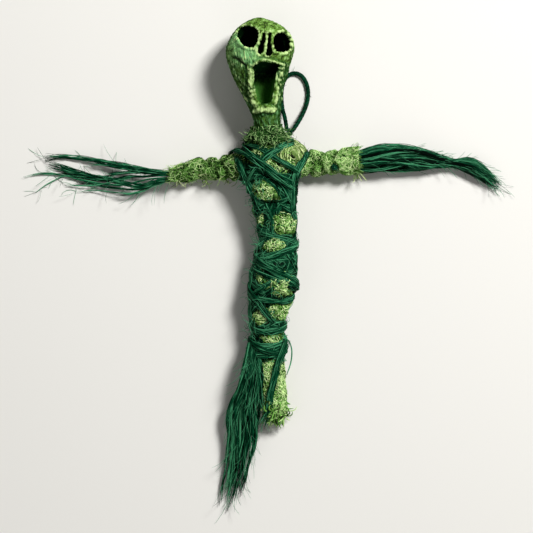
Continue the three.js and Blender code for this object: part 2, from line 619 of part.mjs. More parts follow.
// Openings of the face, as outlines seen from the front; the face is laid out in shares of the skull's
// width and height, while each opening has its own size
const onFace = ([across, up]) => new THREE.Vector2(across * SKULL_WIDTH, up * HEAD_HEIGHT);
const eye = (place, high, corner) => steps(EYE_SIDES, (k) => {
  const angle = (k * TURN) / EYE_SIDES;
  const pull = 1 + EYE_CORNER * Math.max(0, Math.cos(angle - corner)) ** 6;
  const edge = new THREE.Vector2((EYE_WIDTH / 2) * Math.cos(angle), (high / 2) * Math.sin(angle));
  return onFace(place).addScaledVector(edge, pull);
});
const slot = (foot, top) => {
  const lean = onFace(top).sub(onFace(foot)).angle();
  return [[top, lean - Math.PI / 2], [foot, lean + Math.PI / 2]].flatMap(([end, from]) =>
    sweep(5, (share) => {
      const angle = from + share * Math.PI;
      const edge = new THREE.Vector2(Math.cos(angle), Math.sin(angle));
      return onFace(end).addScaledVector(edge, NOSE_SLOT / 2);
    }));
};
const mouthCorners = [
  [-0.204, 0.584], [0, 0.602], [0.204, 0.563], [0.16, 0.428], [0.087, 0.297],
  [0.024, 0.229], [-0.092, 0.232], [-0.15, 0.321], [-0.199, 0.474],
].map(onFace);
const mouth = new THREE.CatmullRomCurve3(mouthCorners.map((p) => point(p.x, p.y, 0)), true)
  .getPoints(MOUTH_SIDES)
  .slice(0, -1)
  .map((p) => new THREE.Vector2(p.x, p.y))
  .reverse();
const openings = {
  leftEye: eye([-0.206, 0.842], LEFT_EYE_HEIGHT, -50 * DEGREE),
  rightEye: eye([0.248, 0.766], RIGHT_EYE_HEIGHT, -120 * DEGREE),
  leftNostril: slot([-0.095, 0.697], [-0.022, 0.847]),
  rightNostril: slot([0.029, 0.682], [0.095, 0.841]),
  mouth,
};
const throughFace = (outline) => new THREE.ExtrudeGeometry(new THREE.Shape(outline), {
  depth: 2 * SKULL_FRONT, bevelEnabled: false, curveSegments: 1,
}).translate(0, 0, SKULL_FRONT * 0.1);
const bead = (outline, width) => {
  const middle = outline.reduce((sum, p) => sum.add(p), new THREE.Vector2()).divideScalar(outline.length);
  const track = outline.map((p) => {
    const away = p.clone().sub(middle).setLength(width * BEAD_SPREAD);
    return faceAt(p.x + away.x, p.y + away.y);
  });
  return tube(track, 6, () => [width / 2, width / 2], () => UP, true);
};
const chinPlaces = [[-0.17, 0.187], [-0.073, 0.174], [0.024, 0.168], [0.112, 0.183]];
const chinBar = tube(
  smooth(chinPlaces.map(onFace).map((p) => faceAt(p.x, p.y)), 8),
  8,
  (share) => [CHIN_BAR / 2 * (0.55 + 0.45 * Math.sin(share * Math.PI)), CHIN_BAR * 0.4],
);
const pegHalf = SPINE_STICK / 2 + CLEARANCE;
const pegHole = new THREE.CylinderGeometry(pegHalf, pegHalf, 2 * NECK_PEG, 12);
let skull = solid(skullForm)
  .add(solid(bead(openings.leftEye, EYE_BEAD)))
  .add(solid(bead(openings.rightEye, EYE_BEAD)))
  .add(solid(bead(openings.mouth, LIP_BEAD)))
  .add(solid(chinBar))
  .subtract(solid(cavityForm));
for (const outline of Object.values(openings)) {
  skull = skull.subtract(solid(throughFace(outline)));
}
skull = skull.subtract(solid(pegHole)).subtract(solid(table, head.matrix.clone().invert()));
place(head, 'head', shape(skull), HEAD_GREEN);

// Bunches of twine: a fluted body, then loose ends that keep their own places, so that none cross
const GOLDEN = Math.PI * (3 - Math.sqrt(5));
const bunchFrame = (line, t) => {
  const along = line.getTangent(t);
  const across = UP.clone().cross(along).normalize();
  return { at: line.getPoint(t), across, out: along.clone().cross(across) };
};
const flutedBody = (line, spreadAt, flutes, until) => skin(sweep(11, (share) => {
  const t = until * share;
  const { at, across, out } = bunchFrame(line, t);
  const [wide, thick] = spreadAt(t);
  return steps(2 * flutes, (k) => {
    const angle = (k * Math.PI) / flutes;
    const depth = k % 2 ? 1 - FLUTE_DEPTH : 1;
    return at.clone()
      .addScaledVector(across, wide * depth * Math.cos(angle))
      .addScaledVector(out, thick * depth * Math.sin(angle));
  });
}));
const looseEnds = (line, spreadAt, count, width, from) => steps(count, (i) => {
  const out = 0.8 * Math.sqrt((i + 0.5) / count);
  const [aside, high] = [out * Math.cos(i * GOLDEN), out * Math.sin(i * GOLDEN)];
  const end = 1 - 0.16 * (((i * 7) % 5) / 4);
  const points = sweep(4, (share) => {
    const t = mix(from, end, share);
    const frame = bunchFrame(line, t);
    const [wide, thick] = spreadAt(t);
    return frame.at.addScaledVector(frame.across, aside * wide).addScaledVector(frame.out, high * thick);
  });
  return tube(points, 4, (share) => {
    const half = (width / 2) * (1 - 0.6 * share);
    return [half, half];
  });
});
const bunch = (track, spreadAt, flutes, ends, width, until) => {
  const line = new THREE.CatmullRomCurve3(track);
  const rooted = until - 0.06;  // where the loose ends start, inside the fluted body
  return [flutedBody(line, spreadAt, flutes, until), ...looseEnds(line, spreadAt, ends, width, rooted)];
};

// Left hand: frayed strands from a knot at the wrist
const leftWristRise = armCentre(leftHalf, -LEFT_ARM_REACH);
const leftWrist = point(-LEFT_ARM_REACH - CLEARANCE - LEFT_KNOT / 2, 0, leftWristRise)
  .applyMatrix4(arms.matrix);
const knotBall = (at, wide, thick) => new THREE.SphereGeometry(0.5, 12, 8)
  .rotateX(Math.PI / 2).scale(wide, wide, thick).translate(at.x, at.y, at.z);
const handStrand = (route, width) => {
  const places = route.map(([out, up, rise]) => point(leftWrist.x - out, leftWrist.y + up, rise));
  return tube(smooth([leftWrist.clone(), ...places], 10), 4, (share) => [
    (width / 2) * (1 - 0.6 * share),
    (width / 3) * (1 - 0.5 * share),
  ]);
};
const handRoutes = [
  [1.4, [[9, 4.4, 8], [28, 8, 5], [46, 11.6, 3], [57, 12.6, 2], [70, 11, 1.4]]],
  [0.8, [[9, 1.2, 8.6], [26, 2, 5.4], [46, 2.6, 3], [64, 4, 1.6], [81, 3.4, 1]]],
  [1.4, [[8, -3.4, 7.6], [16, -6.6, 6], [29, -3.4, 4], [43, -0.4, 2.6], [57, -1.6, 1.6], [67, -0.8, 1.2]]],
  [0.7, [[10, -6, 6.4], [26, -8.6, 3], [42, -6.2, 1.8], [58, -7, 1.2], [72, -11.4, 0.9]]],
  [0.6, [[9, -8, 5.4], [22, -13, 2.4], [36, -16.4, 1]]],
];
const leftHand = joined([
  knotBall(leftWrist, LEFT_KNOT, LEFT_KNOT),
  ...handRoutes.map(([share, route]) => handStrand(route, HAND_STRAND * share)),
]);
place(doll, 'left_hand', shape(leftHand), TWINE);

// Right hand: a full tassel that swells, is drawn in near its end and flares
const rightWristRise = armCentre(rightHalf, RIGHT_ARM_REACH);
const rightWrist = point(RIGHT_ARM_REACH + CLEARANCE + RIGHT_KNOT / 2, 0, rightWristRise)
  .applyMatrix4(arms.matrix);
const tasselTrack = [
  [0, 0, 0], [12, 1, 0], [29, 1, -1], [41, -0.6, -2.4],
  [49, -2, -3], [61, -4.4, -3.4], [79.4, -17.4, -4.4],
].map(([x, y, z]) => rightWrist.clone().add(point(x, y, z)));
const tasselSpread = through([
  [0, RIGHT_KNOT * 0.42], [0.16, 8.6], [0.36, 8.2], [0.58, 3.6], [0.78, 5.6], [1, 5.2]]);
const tasselDepth = through([
  [0, RIGHT_KNOT * 0.42], [0.16, 6.6], [0.36, 6], [0.58, 3], [0.78, 3.2], [1, 2]]);
const tasselHalf = (t) => [tasselSpread(t), tasselDepth(t)];
const rightHand = joined([
  knotBall(rightWrist, RIGHT_KNOT, RIGHT_KNOT),
  ...bunch(tasselTrack, tasselHalf, TASSEL_FLUTES, TASSEL_ENDS, TASSEL_STRAND, TASSEL_LOOSE_FROM),
]);
place(doll, 'right_hand', shape(rightHand), TWINE);

// Fringe: a long bunch from a flat knot below the waist's turns, falling to the left of the leg
const waistFootY = waistTopY - TWINE_PITCH * WAIST_TURNS - TWINE_WIDTH / 2;
const fringeY = waistFootY - CLEARANCE - FRINGE_KNOT_WIDTH / 2;
const hipFront = spineZ(hipY) + (HIP_WIDTH / 2) * BODY_FLATNESS;
const fringeRise = hipFront + CLEARANCE + FRINGE_KNOT_DEPTH / 2;
const fringeRoot = point(spineX(fringeY) - FRINGE_ASIDE, fringeY, fringeRise);
const fringeTrack = [
  [0, 0, 0], [-6, -7, -2.1], [-8.7, -12, -4.1], [-9.9, -24, -8.7],
  [-9.8, -38, -11.7], [-12.1, -49.5, -13.3], [-16.1, -69.5, -15.7], [-19.7, -88.5, -17.6],
].map(([x, y, z]) => fringeRoot.clone().add(point(x, y, z)));
const fringeSpread = through([
  [0, FRINGE_KNOT_WIDTH * 0.42], [0.14, 6.5], [0.28, 8], [0.43, 10.8], [0.57, 11.2], [0.71, 8.5], [1, 6]]);
const fringeDepth = through([[0, FRINGE_KNOT_DEPTH * 0.4], [0.3, 2.2], [0.7, 2.6], [1, 1.6]]);
const fringeHalf = (t) => [fringeSpread(t), fringeDepth(t)];
const fringe = joined([
  knotBall(fringeRoot, FRINGE_KNOT_WIDTH, FRINGE_KNOT_DEPTH),
  ...bunch(fringeTrack, fringeHalf, FRINGE_FLUTES, FRINGE_ENDS, FRINGE_STRAND, FRINGE_LOOSE_FROM),
]);
place(doll, 'leg_fringe', shape(fringe), TWINE);

// One flat length of the same twine leaves the waist's turns on the right and lies slantwise over the leg
const ribbonSeat = CLEARANCE + TWINE_THICKNESS / 2;
const legPoint = (y, angle, lift) => point(
  spineX(y) + (legWide(y) + lift) * Math.cos(angle),
  y,
  spineZ(y) + (legDeep(y) + lift) * Math.sin(angle),
);
const ribbonTurn = (share) => mix(RIBBON_FROM, RIBBON_TO, share);
const ribbonLine = smooth([
  bodyPoint(waistY + TWINE_PITCH / 2, RIBBON_FROM, bandRoom + ribbonSeat),
  bodyPoint(waistY - TWINE_PITCH / 2, ribbonTurn(0.13), bandRoom + ribbonSeat),
  bodyPoint(waistFootY, ribbonTurn(0.28), bandRoom + ribbonSeat),
  legPoint(mix(hipY, legY, 0.34), ribbonTurn(0.58), 2 * ribbonSeat),
  legPoint(mix(hipY, legY, 0.64), ribbonTurn(0.85), 2 * ribbonSeat),
  legPoint(mix(hipY, legY, 0.9), RIBBON_TO, 3 * ribbonSeat),
  point(LEG_X - LEG_WIDTH / 2 - RIBBON_PAST / 4, legY - RIBBON_PAST, LEG_WIDTH * 0.72),
], 16);
const ribbonOut = (i) => {
  const { x, y, z } = ribbonLine[i];
  return point(x - spineX(y), 0, z - spineZ(y) + LEG_WIDTH / 4);
};
const ribbon = tube(ribbonLine, 6, (share) => [
  (RIBBON_WIDTH / 2) * (1 - 0.4 * share), (TWINE_THICKNESS / 2) * (1 - 0.3 * share)], ribbonOut);
place(doll, 'fringe_ribbon', ribbon, TWINE);

// Hanging loop: a stiff cord from its knot beside the neck, lying on the table next to the jaw
const knotLevel = -collarLength * 0.5;
const knotReach = LOOP_KNOT_GAP + LOOP_KNOT / 2;
const loopKnotAt = neckFoot.clone().addScaledVector(neckAxis, knotLevel).add(point(
  (collarHalf(knotLevel) + knotReach) * Math.cos(LOOP_KNOT_ANGLE),
  0,
  (collarDeep(knotLevel) + knotReach) * Math.sin(LOOP_KNOT_ANGLE),
));
place(doll, 'loop_knot', knotBall(loopKnotAt, LOOP_KNOT, LOOP_KNOT), CORD);
const LOOP_ROUTE = [
  [12.2, 81.7, 11.4], [11.8, 84.8, 9.4], [11, 89.4, 6.4], [9.8, 94, 3.6], [9.2, 98.6, 2],
  [9, 103, 1.5], [9.4, 107.6, 1.4], [10.8, 112, 1.4], [13.6, 115.2, 1.4], [17.2, 116.2, 1.4],
  [20.8, 114.8, 1.4], [23.4, 111.4, 1.4], [24.8, 107, 1.4], [25, 102.4, 1.4], [24.2, 97.8, 1.8],
  [22.4, 93, 3.4], [20.2, 88.6, 6], [17.8, 84.6, 9.2], [15.7, 81.5, 11.4],
];
const cordSides = 8;
const loopSection = new THREE.Shape(steps(cordSides, (k) => {
  const angle = (k * TURN) / cordSides;
  return new THREE.Vector2((LOOP_CORD / 2) * Math.cos(angle), (LOOP_CORD / 2) * Math.sin(angle));
}));
const loopLine = new THREE.CatmullRomCurve3(LOOP_ROUTE.map(([x, y, z]) => point(x, y, z)));
place(doll, 'hang_loop', new THREE.ExtrudeGeometry(loopSection, { steps: 26, extrudePath: loopLine }), CORD);

export default doll;
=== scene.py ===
"""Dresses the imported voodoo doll: curled moss, fibrous twine, a carved head and a studio stage."""
import json
import math

import bpy
import numpy as np
from bpy.props import FloatProperty, FloatVectorProperty, IntProperty, PointerProperty
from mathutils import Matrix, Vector
from mathutils.bvhtree import BVHTree


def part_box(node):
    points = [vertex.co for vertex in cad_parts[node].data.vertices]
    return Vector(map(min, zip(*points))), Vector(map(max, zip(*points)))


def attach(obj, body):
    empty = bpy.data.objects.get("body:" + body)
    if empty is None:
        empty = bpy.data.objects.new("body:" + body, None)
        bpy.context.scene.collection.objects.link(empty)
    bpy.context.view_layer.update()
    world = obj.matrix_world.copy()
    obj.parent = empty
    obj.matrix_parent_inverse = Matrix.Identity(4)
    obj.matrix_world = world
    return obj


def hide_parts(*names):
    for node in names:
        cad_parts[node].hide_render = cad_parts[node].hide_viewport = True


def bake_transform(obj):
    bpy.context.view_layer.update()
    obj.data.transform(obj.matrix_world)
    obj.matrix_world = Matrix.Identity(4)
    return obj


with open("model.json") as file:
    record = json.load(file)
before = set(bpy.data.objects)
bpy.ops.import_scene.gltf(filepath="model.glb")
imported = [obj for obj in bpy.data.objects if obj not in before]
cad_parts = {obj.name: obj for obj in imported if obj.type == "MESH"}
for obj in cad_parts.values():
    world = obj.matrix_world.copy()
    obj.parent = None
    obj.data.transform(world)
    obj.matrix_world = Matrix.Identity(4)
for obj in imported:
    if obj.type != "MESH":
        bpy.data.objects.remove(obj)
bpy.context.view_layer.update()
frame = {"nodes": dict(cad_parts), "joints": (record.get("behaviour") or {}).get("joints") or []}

bl_info = {
    "name": "Voodoo doll",
    "version": (1, 0, 0),
    "blender": (4, 5, 0),
    "location": "View3D > Sidebar > Doll",
    "description": "Builds a moss and twine voodoo doll round its packed frame",
    "category": "Add Mesh",
}

TURN = 2 * math.pi
GOLDEN = math.pi * (3 - math.sqrt(5))
TINY = 1e-12
MM = 0.001
UP = np.array((0.0, 0.0, 1.0))
# Fibres keep this far above the table, and skins half as far
TABLE_GAP = 0.25 * MM


# Sizes and colours that a user would change
def length(name, description, millimetres):
    """A size for the panel, given in millimetres."""
    return FloatProperty(name=name, description=description, default=millimetres * MM, unit="LENGTH",
                         min=0.0, precision=5)


def colour(name, description, red, green, blue):
    """A colour for the panel, each part from 0 to 255."""
    return FloatVectorProperty(name=name, description=description, subtype="COLOR_GAMMA", size=3,
                               min=0.0, max=1.0, default=(red / 255, green / 255, blue / 255))


class DollSizes(bpy.types.PropertyGroup):
    """Sizes of the fibres, strands and carving"""
    moss_fibre: length("Moss fibre", "Thickness of one moss fibre", 0.44)
    moss_length: length("Moss length", "Length of one moss fibre", 3.2)
    moss_loft: length("Moss loft", "How far moss fibres rise off the roll", 1.1)
    collar_fibre: length("Collar fibre", "Thickness of one fibre of the neck moss", 0.42)
    twine_thickness: length("Twine thickness", "Thickness of the flat twine", 1.7)
    twine_fibre: length("Twine fibre", "Thickness of one fibre of the twine", 0.48)
    fuzz_fibre: length("Fuzz fibre", "Thickness of a stray hair", 0.18)
    loop_cord: length("Loop cord", "Diameter of the hanging loop's cord", 2.6)
    head_height: length("Head height", "From the foot of the neck to the crown", 65.4)
    skull_width: length("Skull width", "Widest part of the head", 41.2)
    skull_back: length("Skull back", "Depth of the head behind its axis", 20.6)
    skull_front: length("Skull front", "Depth of the head before its axis", 18.6)
    neck_width: length("Neck width", "Diameter of the carved neck", 16.0)
    jaw_width: length("Jaw width", "Width of the jaw at the mouth's foot", 23.8)
    jaw_aside: length("Jaw aside", "How far the jaw is set to the left", 1.3)
    head_wall: length("Head wall", "Thickness of the hollow head's wall", 6.0)
    carving_grain: length("Carving grain", "Size of the facets that the head is carved in", 0.36)
    moss_density: FloatProperty(name="Moss density", description="Fibres per square millimetre",
                                default=1.6, min=0.0)
    strand_fibres: IntProperty(name="Strand fibres", description="Fibres in one flat strand of twine",
                               default=30, min=3)


class DollColours(bpy.types.PropertyGroup):
    """Colours of the finishes, as they are seen"""
    # Each dark colour below serves for darker fibres and also as painted shade: on the skins under the
    # fibres, in creases and grooves, and in gaps between stalks and strands.
    moss_dark: colour("Moss, dark", "Moss deep in the roll", 18, 44, 10)
    moss_middle: colour("Moss, middle", "Moss on the whole", 114, 170, 76)
    moss_pale: colour("Moss, pale", "Dry tips of the moss", 226, 250, 178)
    collar_dark: colour("Collar, dark", "Neck moss deep down", 6, 16, 6)
    collar_middle: colour("Collar, middle", "Neck moss on the whole", 44, 92, 34)
    collar_pale: colour("Collar, pale", "Curls of the neck moss", 168, 206, 134)
    straw_dark: colour("Straw, dark", "Gaps between the straw stalks", 14, 26, 8)
    straw_middle: colour("Straw, middle", "Dry stalks on the whole", 118, 150, 76)
    straw_pale: colour("Straw, pale", "Bleached stalks", 216, 230, 168)
    twine_dark: colour("Twine, dark", "Twine between its fibres", 0, 12, 5)
    twine_middle: colour("Twine, middle", "Dyed twine", 0, 68, 40)
    twine_pale: colour("Twine, pale", "Worn hairs of the twine", 76, 154, 110)
    head_green: colour("Head", "Dyed skin of the head", 94, 132, 48)
    head_bright: colour("Head, worn", "Worn skin of the head", 156, 190, 102)
    head_crack: colour("Head, cracks", "Cracks between the fibres of the head", 14, 34, 8)
    # Stains of the head, also used as painted shade in lines beside the lips.
    head_stain_and_shade: colour("Head, sides", "Dark stain along the cheeks and jaw", 26, 62, 16)
    head_cheek: colour("Head, cheeks", "Cooler green over the cheeks", 150, 216, 142)
    head_rim: colour("Head, rims", "Worn pale rims of the openings", 184, 212, 140)
    # Painted shade: the inside of the head above the throat, and the slit in the left cheek, are painted
    # this near black.
    head_hollow: colour("Head, hollow", "Inside of the head", 2, 14, 3)
    head_throat: colour("Head, throat", "Inside of the lower mouth", 64, 116, 44)
    bark: colour("Bark", "Sticks inside the doll", 92, 64, 40)
    floor: colour("Floor", "Studio floor", 226, 224, 218)


def sizes():
    return bpy.context.scene.doll_sizes


def colours():
    return bpy.context.scene.doll_colours


def linear(shade):
    """A colour as it is seen, turned into light, with alpha."""
    return tuple(c / 12.92 if c <= 0.04045 else ((c + 0.055) / 1.055) ** 2.4 for c in shade) + (1.0,)


# Measures and curves
def unit(vectors):
    """Vectors scaled to a length of 1."""
    vectors = np.asarray(vectors, float)
    return vectors / np.maximum(np.linalg.norm(vectors, axis=-1, keepdims=True), TINY)


def hinge(name):
    """A joint of the frame."""
    return next(joint for joint in frame["joints"] if joint["name"] == name)


def middle_of(node):
    """Middle of a node's box."""
    return sum(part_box(node), Vector()) / 2


def wobble(points, size, seed, waves=11, stretch=1.8, strength=2.4):
    """Smooth noise from about -1 to 1 at each point, in swells about as wide as size."""
    draw = np.random.default_rng(seed)
    turns = draw.normal(size=(waves, 3)) * (TURN / (stretch * size))
    phases = draw.uniform(0, TURN, waves)
    return np.clip(np.sin(np.asarray(points) @ turns.T + phases).mean(axis=-1) * strength, -1, 1)


def step_up(value, low, high):
    """0 below low, 1 above high, smooth between; low may be the larger."""
    t = np.clip((value - low) / (high - low), 0, 1)
    return t * t * (3 - 2 * t)


def fade(distance, half):
    """1 at distance 0, falling away softly to both sides."""
    return np.exp(-(distance / half) ** 2)


def bead(distance, half):
    """Round section of a bead with its middle at distance 0."""
    return np.sqrt(np.clip(1 - (distance / half) ** 2, 0, 1))


def ring_angles(sides):
    """Even steps round a full turn."""
    return np.arange(sides) * TURN / sides


def lengths_along(path):
    """How far along a path each of its points lies."""
    return np.concatenate([[0], np.cumsum(np.linalg.norm(np.diff(path, axis=0), axis=1))])


def above_table(points, gap=TABLE_GAP / 2):
    """The points, with any that lie too low raised to a gap above the table."""
    points[..., 2] = np.maximum(points[..., 2], gap)
    return points


def through(stations):
    """A smooth curve through (position, value) stations; a value may have several numbers."""
    places = np.array([station[0] for station in stations], float)
    values = np.array([station[1] for station in stations], float)
    last = len(places) - 1
    low = np.maximum(np.arange(len(places)) - 1, 0)
    high = np.minimum(np.arange(len(places)) + 1, last)
    run = (places[high] - places[low]).reshape((-1,) + (1,) * (values.ndim - 1))
    slopes = (values[high] - values[low]) / run

    def value(position):
        at = np.clip(np.asarray(position, float), places[0], places[-1])
        i = np.clip(np.searchsorted(places, at) - 1, 0, last - 1)
        span = places[i + 1] - places[i]
        t = (at - places[i]) / span
        if values.ndim > 1:
            span, t = span[..., None], t[..., None]
        rise = values[i + 1] - values[i]
        bend = t * (1 - t) * ((slopes[i] * span - rise) * (1 - t) - (slopes[i + 1] * span - rise) * t)
        return values[i] + rise * t + bend

    return value


def smooth(points, step, density=40):
    """Points about a step apart on a smooth line through the given points."""
    points = np.array(points, float)
    reach = lengths_along(points)
    line = through(list(zip(reach, points)))
    fine = line(np.linspace(0, reach[-1], density * len(points)))
    run = lengths_along(fine)
    count = max(4, int(round(run[-1] / step)))
    even = np.linspace(0, run[-1], count + 1)
    return np.stack([np.interp(even, run, fine[:, k]) for k in range(3)], axis=1)


def frames(path, out):
    """Along, across and outward directions at each point of a path; out is one way or one for each."""
    along = unit(np.gradient(path, axis=-2))
    across = unit(np.cross(out, along))
    return along, across, np.cross(along, across)


def search_tree(nodes):
    """A tree over the faces of some of the frame's nodes, to find where a ray meets them."""
    corners, faces = [], []
    for node in nodes:
        mesh = frame["nodes"][node].data
        first = len(corners)
        corners.extend(vertex.co.copy() for vertex in mesh.vertices)
        faces.extend([first + index for index in face.vertices] for face in mesh.polygons)
    return BVHTree.FromPolygons(corners, faces)


class Roll:
    """A roll of moss measured on the frame: its middle line, and its reach at each place and angle."""

    STATIONS = 72
    ANGLES = 48
    FAR = 0.08
    END_SHARE = 0.012
    LEAST_REACH = 4 * MM

    def __init__(self, nodes, start, end, aside):
        self.start, self.end = np.array(start, float), np.array(end, float)
        self.creases = []
        self.length = float(np.linalg.norm(self.end - self.start))
        self.along = unit(self.end - self.start)
        self.rise = unit(UP - self.along * (UP @ self.along))
        self.aside = unit(np.cross(self.along, self.rise))
        if self.aside @ np.array(aside) < 0:
            self.aside = -self.aside
        tree = search_tree(nodes)
        self.shares = np.linspace(0, 1, self.STATIONS)
        self.middles = self.start + self.shares[:, None] * (self.end - self.start)
        for _ in range(2):
            self.measure(tree)
            quarter = self.ANGLES // 4
            right, front, left, back = (self.reach[:, k * quarter] for k in range(4))
            self.middles = (self.middles + self.aside * ((right - left) / 2)[:, None]
                            + self.rise * ((front - back) / 2)[:, None])
        self.measure(tree)

    def measure(self, tree):
        """Finds the reach by rays cast inward, and fills in what they miss."""
        self.reach = np.zeros((self.STATIONS, self.ANGLES))
        for i, middle in enumerate(self.middles):
            inward = np.clip(self.shares[i], self.END_SHARE, 1 - self.END_SHARE) - self.shares[i]
            middle = middle + inward * (self.end - self.start)
            for k, angle in enumerate(ring_angles(self.ANGLES)):
                way = self.aside * math.cos(angle) + self.rise * math.sin(angle)
                hit = tree.ray_cast(Vector(middle + way * self.FAR), Vector(-way), self.FAR)
                self.reach[i, k] = self.FAR - hit[3] if hit[0] else np.nan
        for i in range(self.STATIONS):
            row = self.reach[i]
            known = np.flatnonzero(~np.isnan(row))
            if len(known) == 0:
                row[:] = self.reach[i - 1] if i else self.LEAST_REACH
            else:
                row[:] = np.interp(np.arange(self.ANGLES), known, row[known], period=self.ANGLES)

    def surface(self):
        """Points of the roll at all its stations and angles."""
        return self.points(self.shares[:, None], ring_angles(self.ANGLES)[None], 0.0)

    def swell(self, size, height, seed):
        """Gives the roll soft lumps about as wide as size."""
        self.reach += height * wobble(self.surface(), size, seed)

    def dent(self, place, depth, size):
        """Presses the roll in round a place."""
        away = self.surface() - np.array(place)
        self.reach -= depth * np.exp(-(away ** 2).sum(axis=-1) / size ** 2)

    def bulge(self, height):
        """Lets the roll bulge where its moss shows between the strands."""
        self.reach += height * self.shown(self.surface())

    def shown(self, points):
        """1 where moss shows between the strands of the torso, 0 under them, on the front and the back."""
        spots = np.array(MOSS_WINDOWS) * MM
        behind = points[..., 2] < np.interp(points[..., 1], self.middles[:, 1], self.middles[:, 2])
        flat = points[..., :2]
        flat = np.where(behind[..., None], flat * BACK_MIRROR + BACK_SHIFT, flat)
        away = (flat[..., None, :] - spots[:, :2]) / spots[:, 2:]
        return np.exp(-((away ** 2).sum(axis=-1)) ** 2).max(axis=-1)

    def crease(self, at, slant, side, depth, half):
        """Sinks a groove that runs round the roll at a place along it, slanted out on one side."""
        away = self.past_crease(self.shares[:, None], ring_angles(self.ANGLES)[None], at, slant, side)
        self.reach -= depth * fade(away, half)
        self.creases.append((at, slant, side, half))

    def past_crease(self, share, angle, at, slant, side):
        """How far beyond a crease each place lies."""
        return share * self.length - at - slant * np.cos(angle - side)

    def sunk(self, share, angle):
        """1 at the bottom of a crease, 0 away from it; the moss is painted darker by it, as shade in the
        crease.
        """
        best = np.zeros(np.broadcast(share, angle).shape)
        for at, slant, side, half in self.creases:
            away = self.past_crease(share, angle, at, slant, side)
            best = np.maximum(best, fade(away, 1.2 * half))
        return best

    def share_at(self, y):
        """Share of the length at a place given along the frame's Y."""
        return (np.asarray(y, float) - self.start[1]) / (self.end[1] - self.start[1])

    def ways(self, angle):
        """Outward directions at angles round the roll."""
        angle = np.asarray(angle, float)[..., None]
        return self.aside * np.cos(angle) + self.rise * np.sin(angle)

    def leaving(self, share, angle, lift, out, along, lean=0.0):
        """Places on the roll, and ways that leave it, partly outward and partly along it."""
        return self.points(share, angle, lift), unit(out * self.ways(angle) + along * self.along + lean)

    def net(self, low, high, step, sides, end):
        """Places between two shares of the length, in rows a step apart: their shares, angles and points,
        and how far each row is from the ends, with 1 for all that are further in than end."""
        rows = max(6, int((high - low) * self.length / step))
        share = np.linspace(low, high, rows)[:, None]
        angle = ring_angles(sides)[None, :]
        inward = np.clip(np.minimum(share - low, high - share) * self.length / end, 0, 1)
        return share, angle, self.points(share, angle, 0.0), inward

    def points(self, share, angle, lift):
        """Places at shares of the length and angles round the roll, lifted off it."""
        share, angle = np.broadcast_arrays(np.asarray(share, float), np.asarray(angle, float))
        at = np.clip(share, 0, 1) * (self.STATIONS - 1)
        i = np.minimum(at.astype(int), self.STATIONS - 2)
        f = at - i
        turn = (angle / TURN % 1) * self.ANGLES
        k = turn.astype(int) % self.ANGLES
        g = turn - np.floor(turn)
        after = (k + 1) % self.ANGLES
        low = self.reach[i, k] * (1 - g) + self.reach[i, after] * g
        high = self.reach[i + 1, k] * (1 - g) + self.reach[i + 1, after] * g
        middle = self.middles[i] * (1 - f)[..., None] + self.middles[i + 1] * f[..., None]
        past = share - np.clip(share, 0, 1)
        middle = middle + past[..., None] * (self.end - self.start)
        return middle + self.ways(angle) * (low * (1 - f) + high * f + lift)[..., None]


# Meshes
# Any way that few fibres run along, to set the corners of their tubes by
FIBRE_LEAN = unit((0.23, 0.31, 0.92))


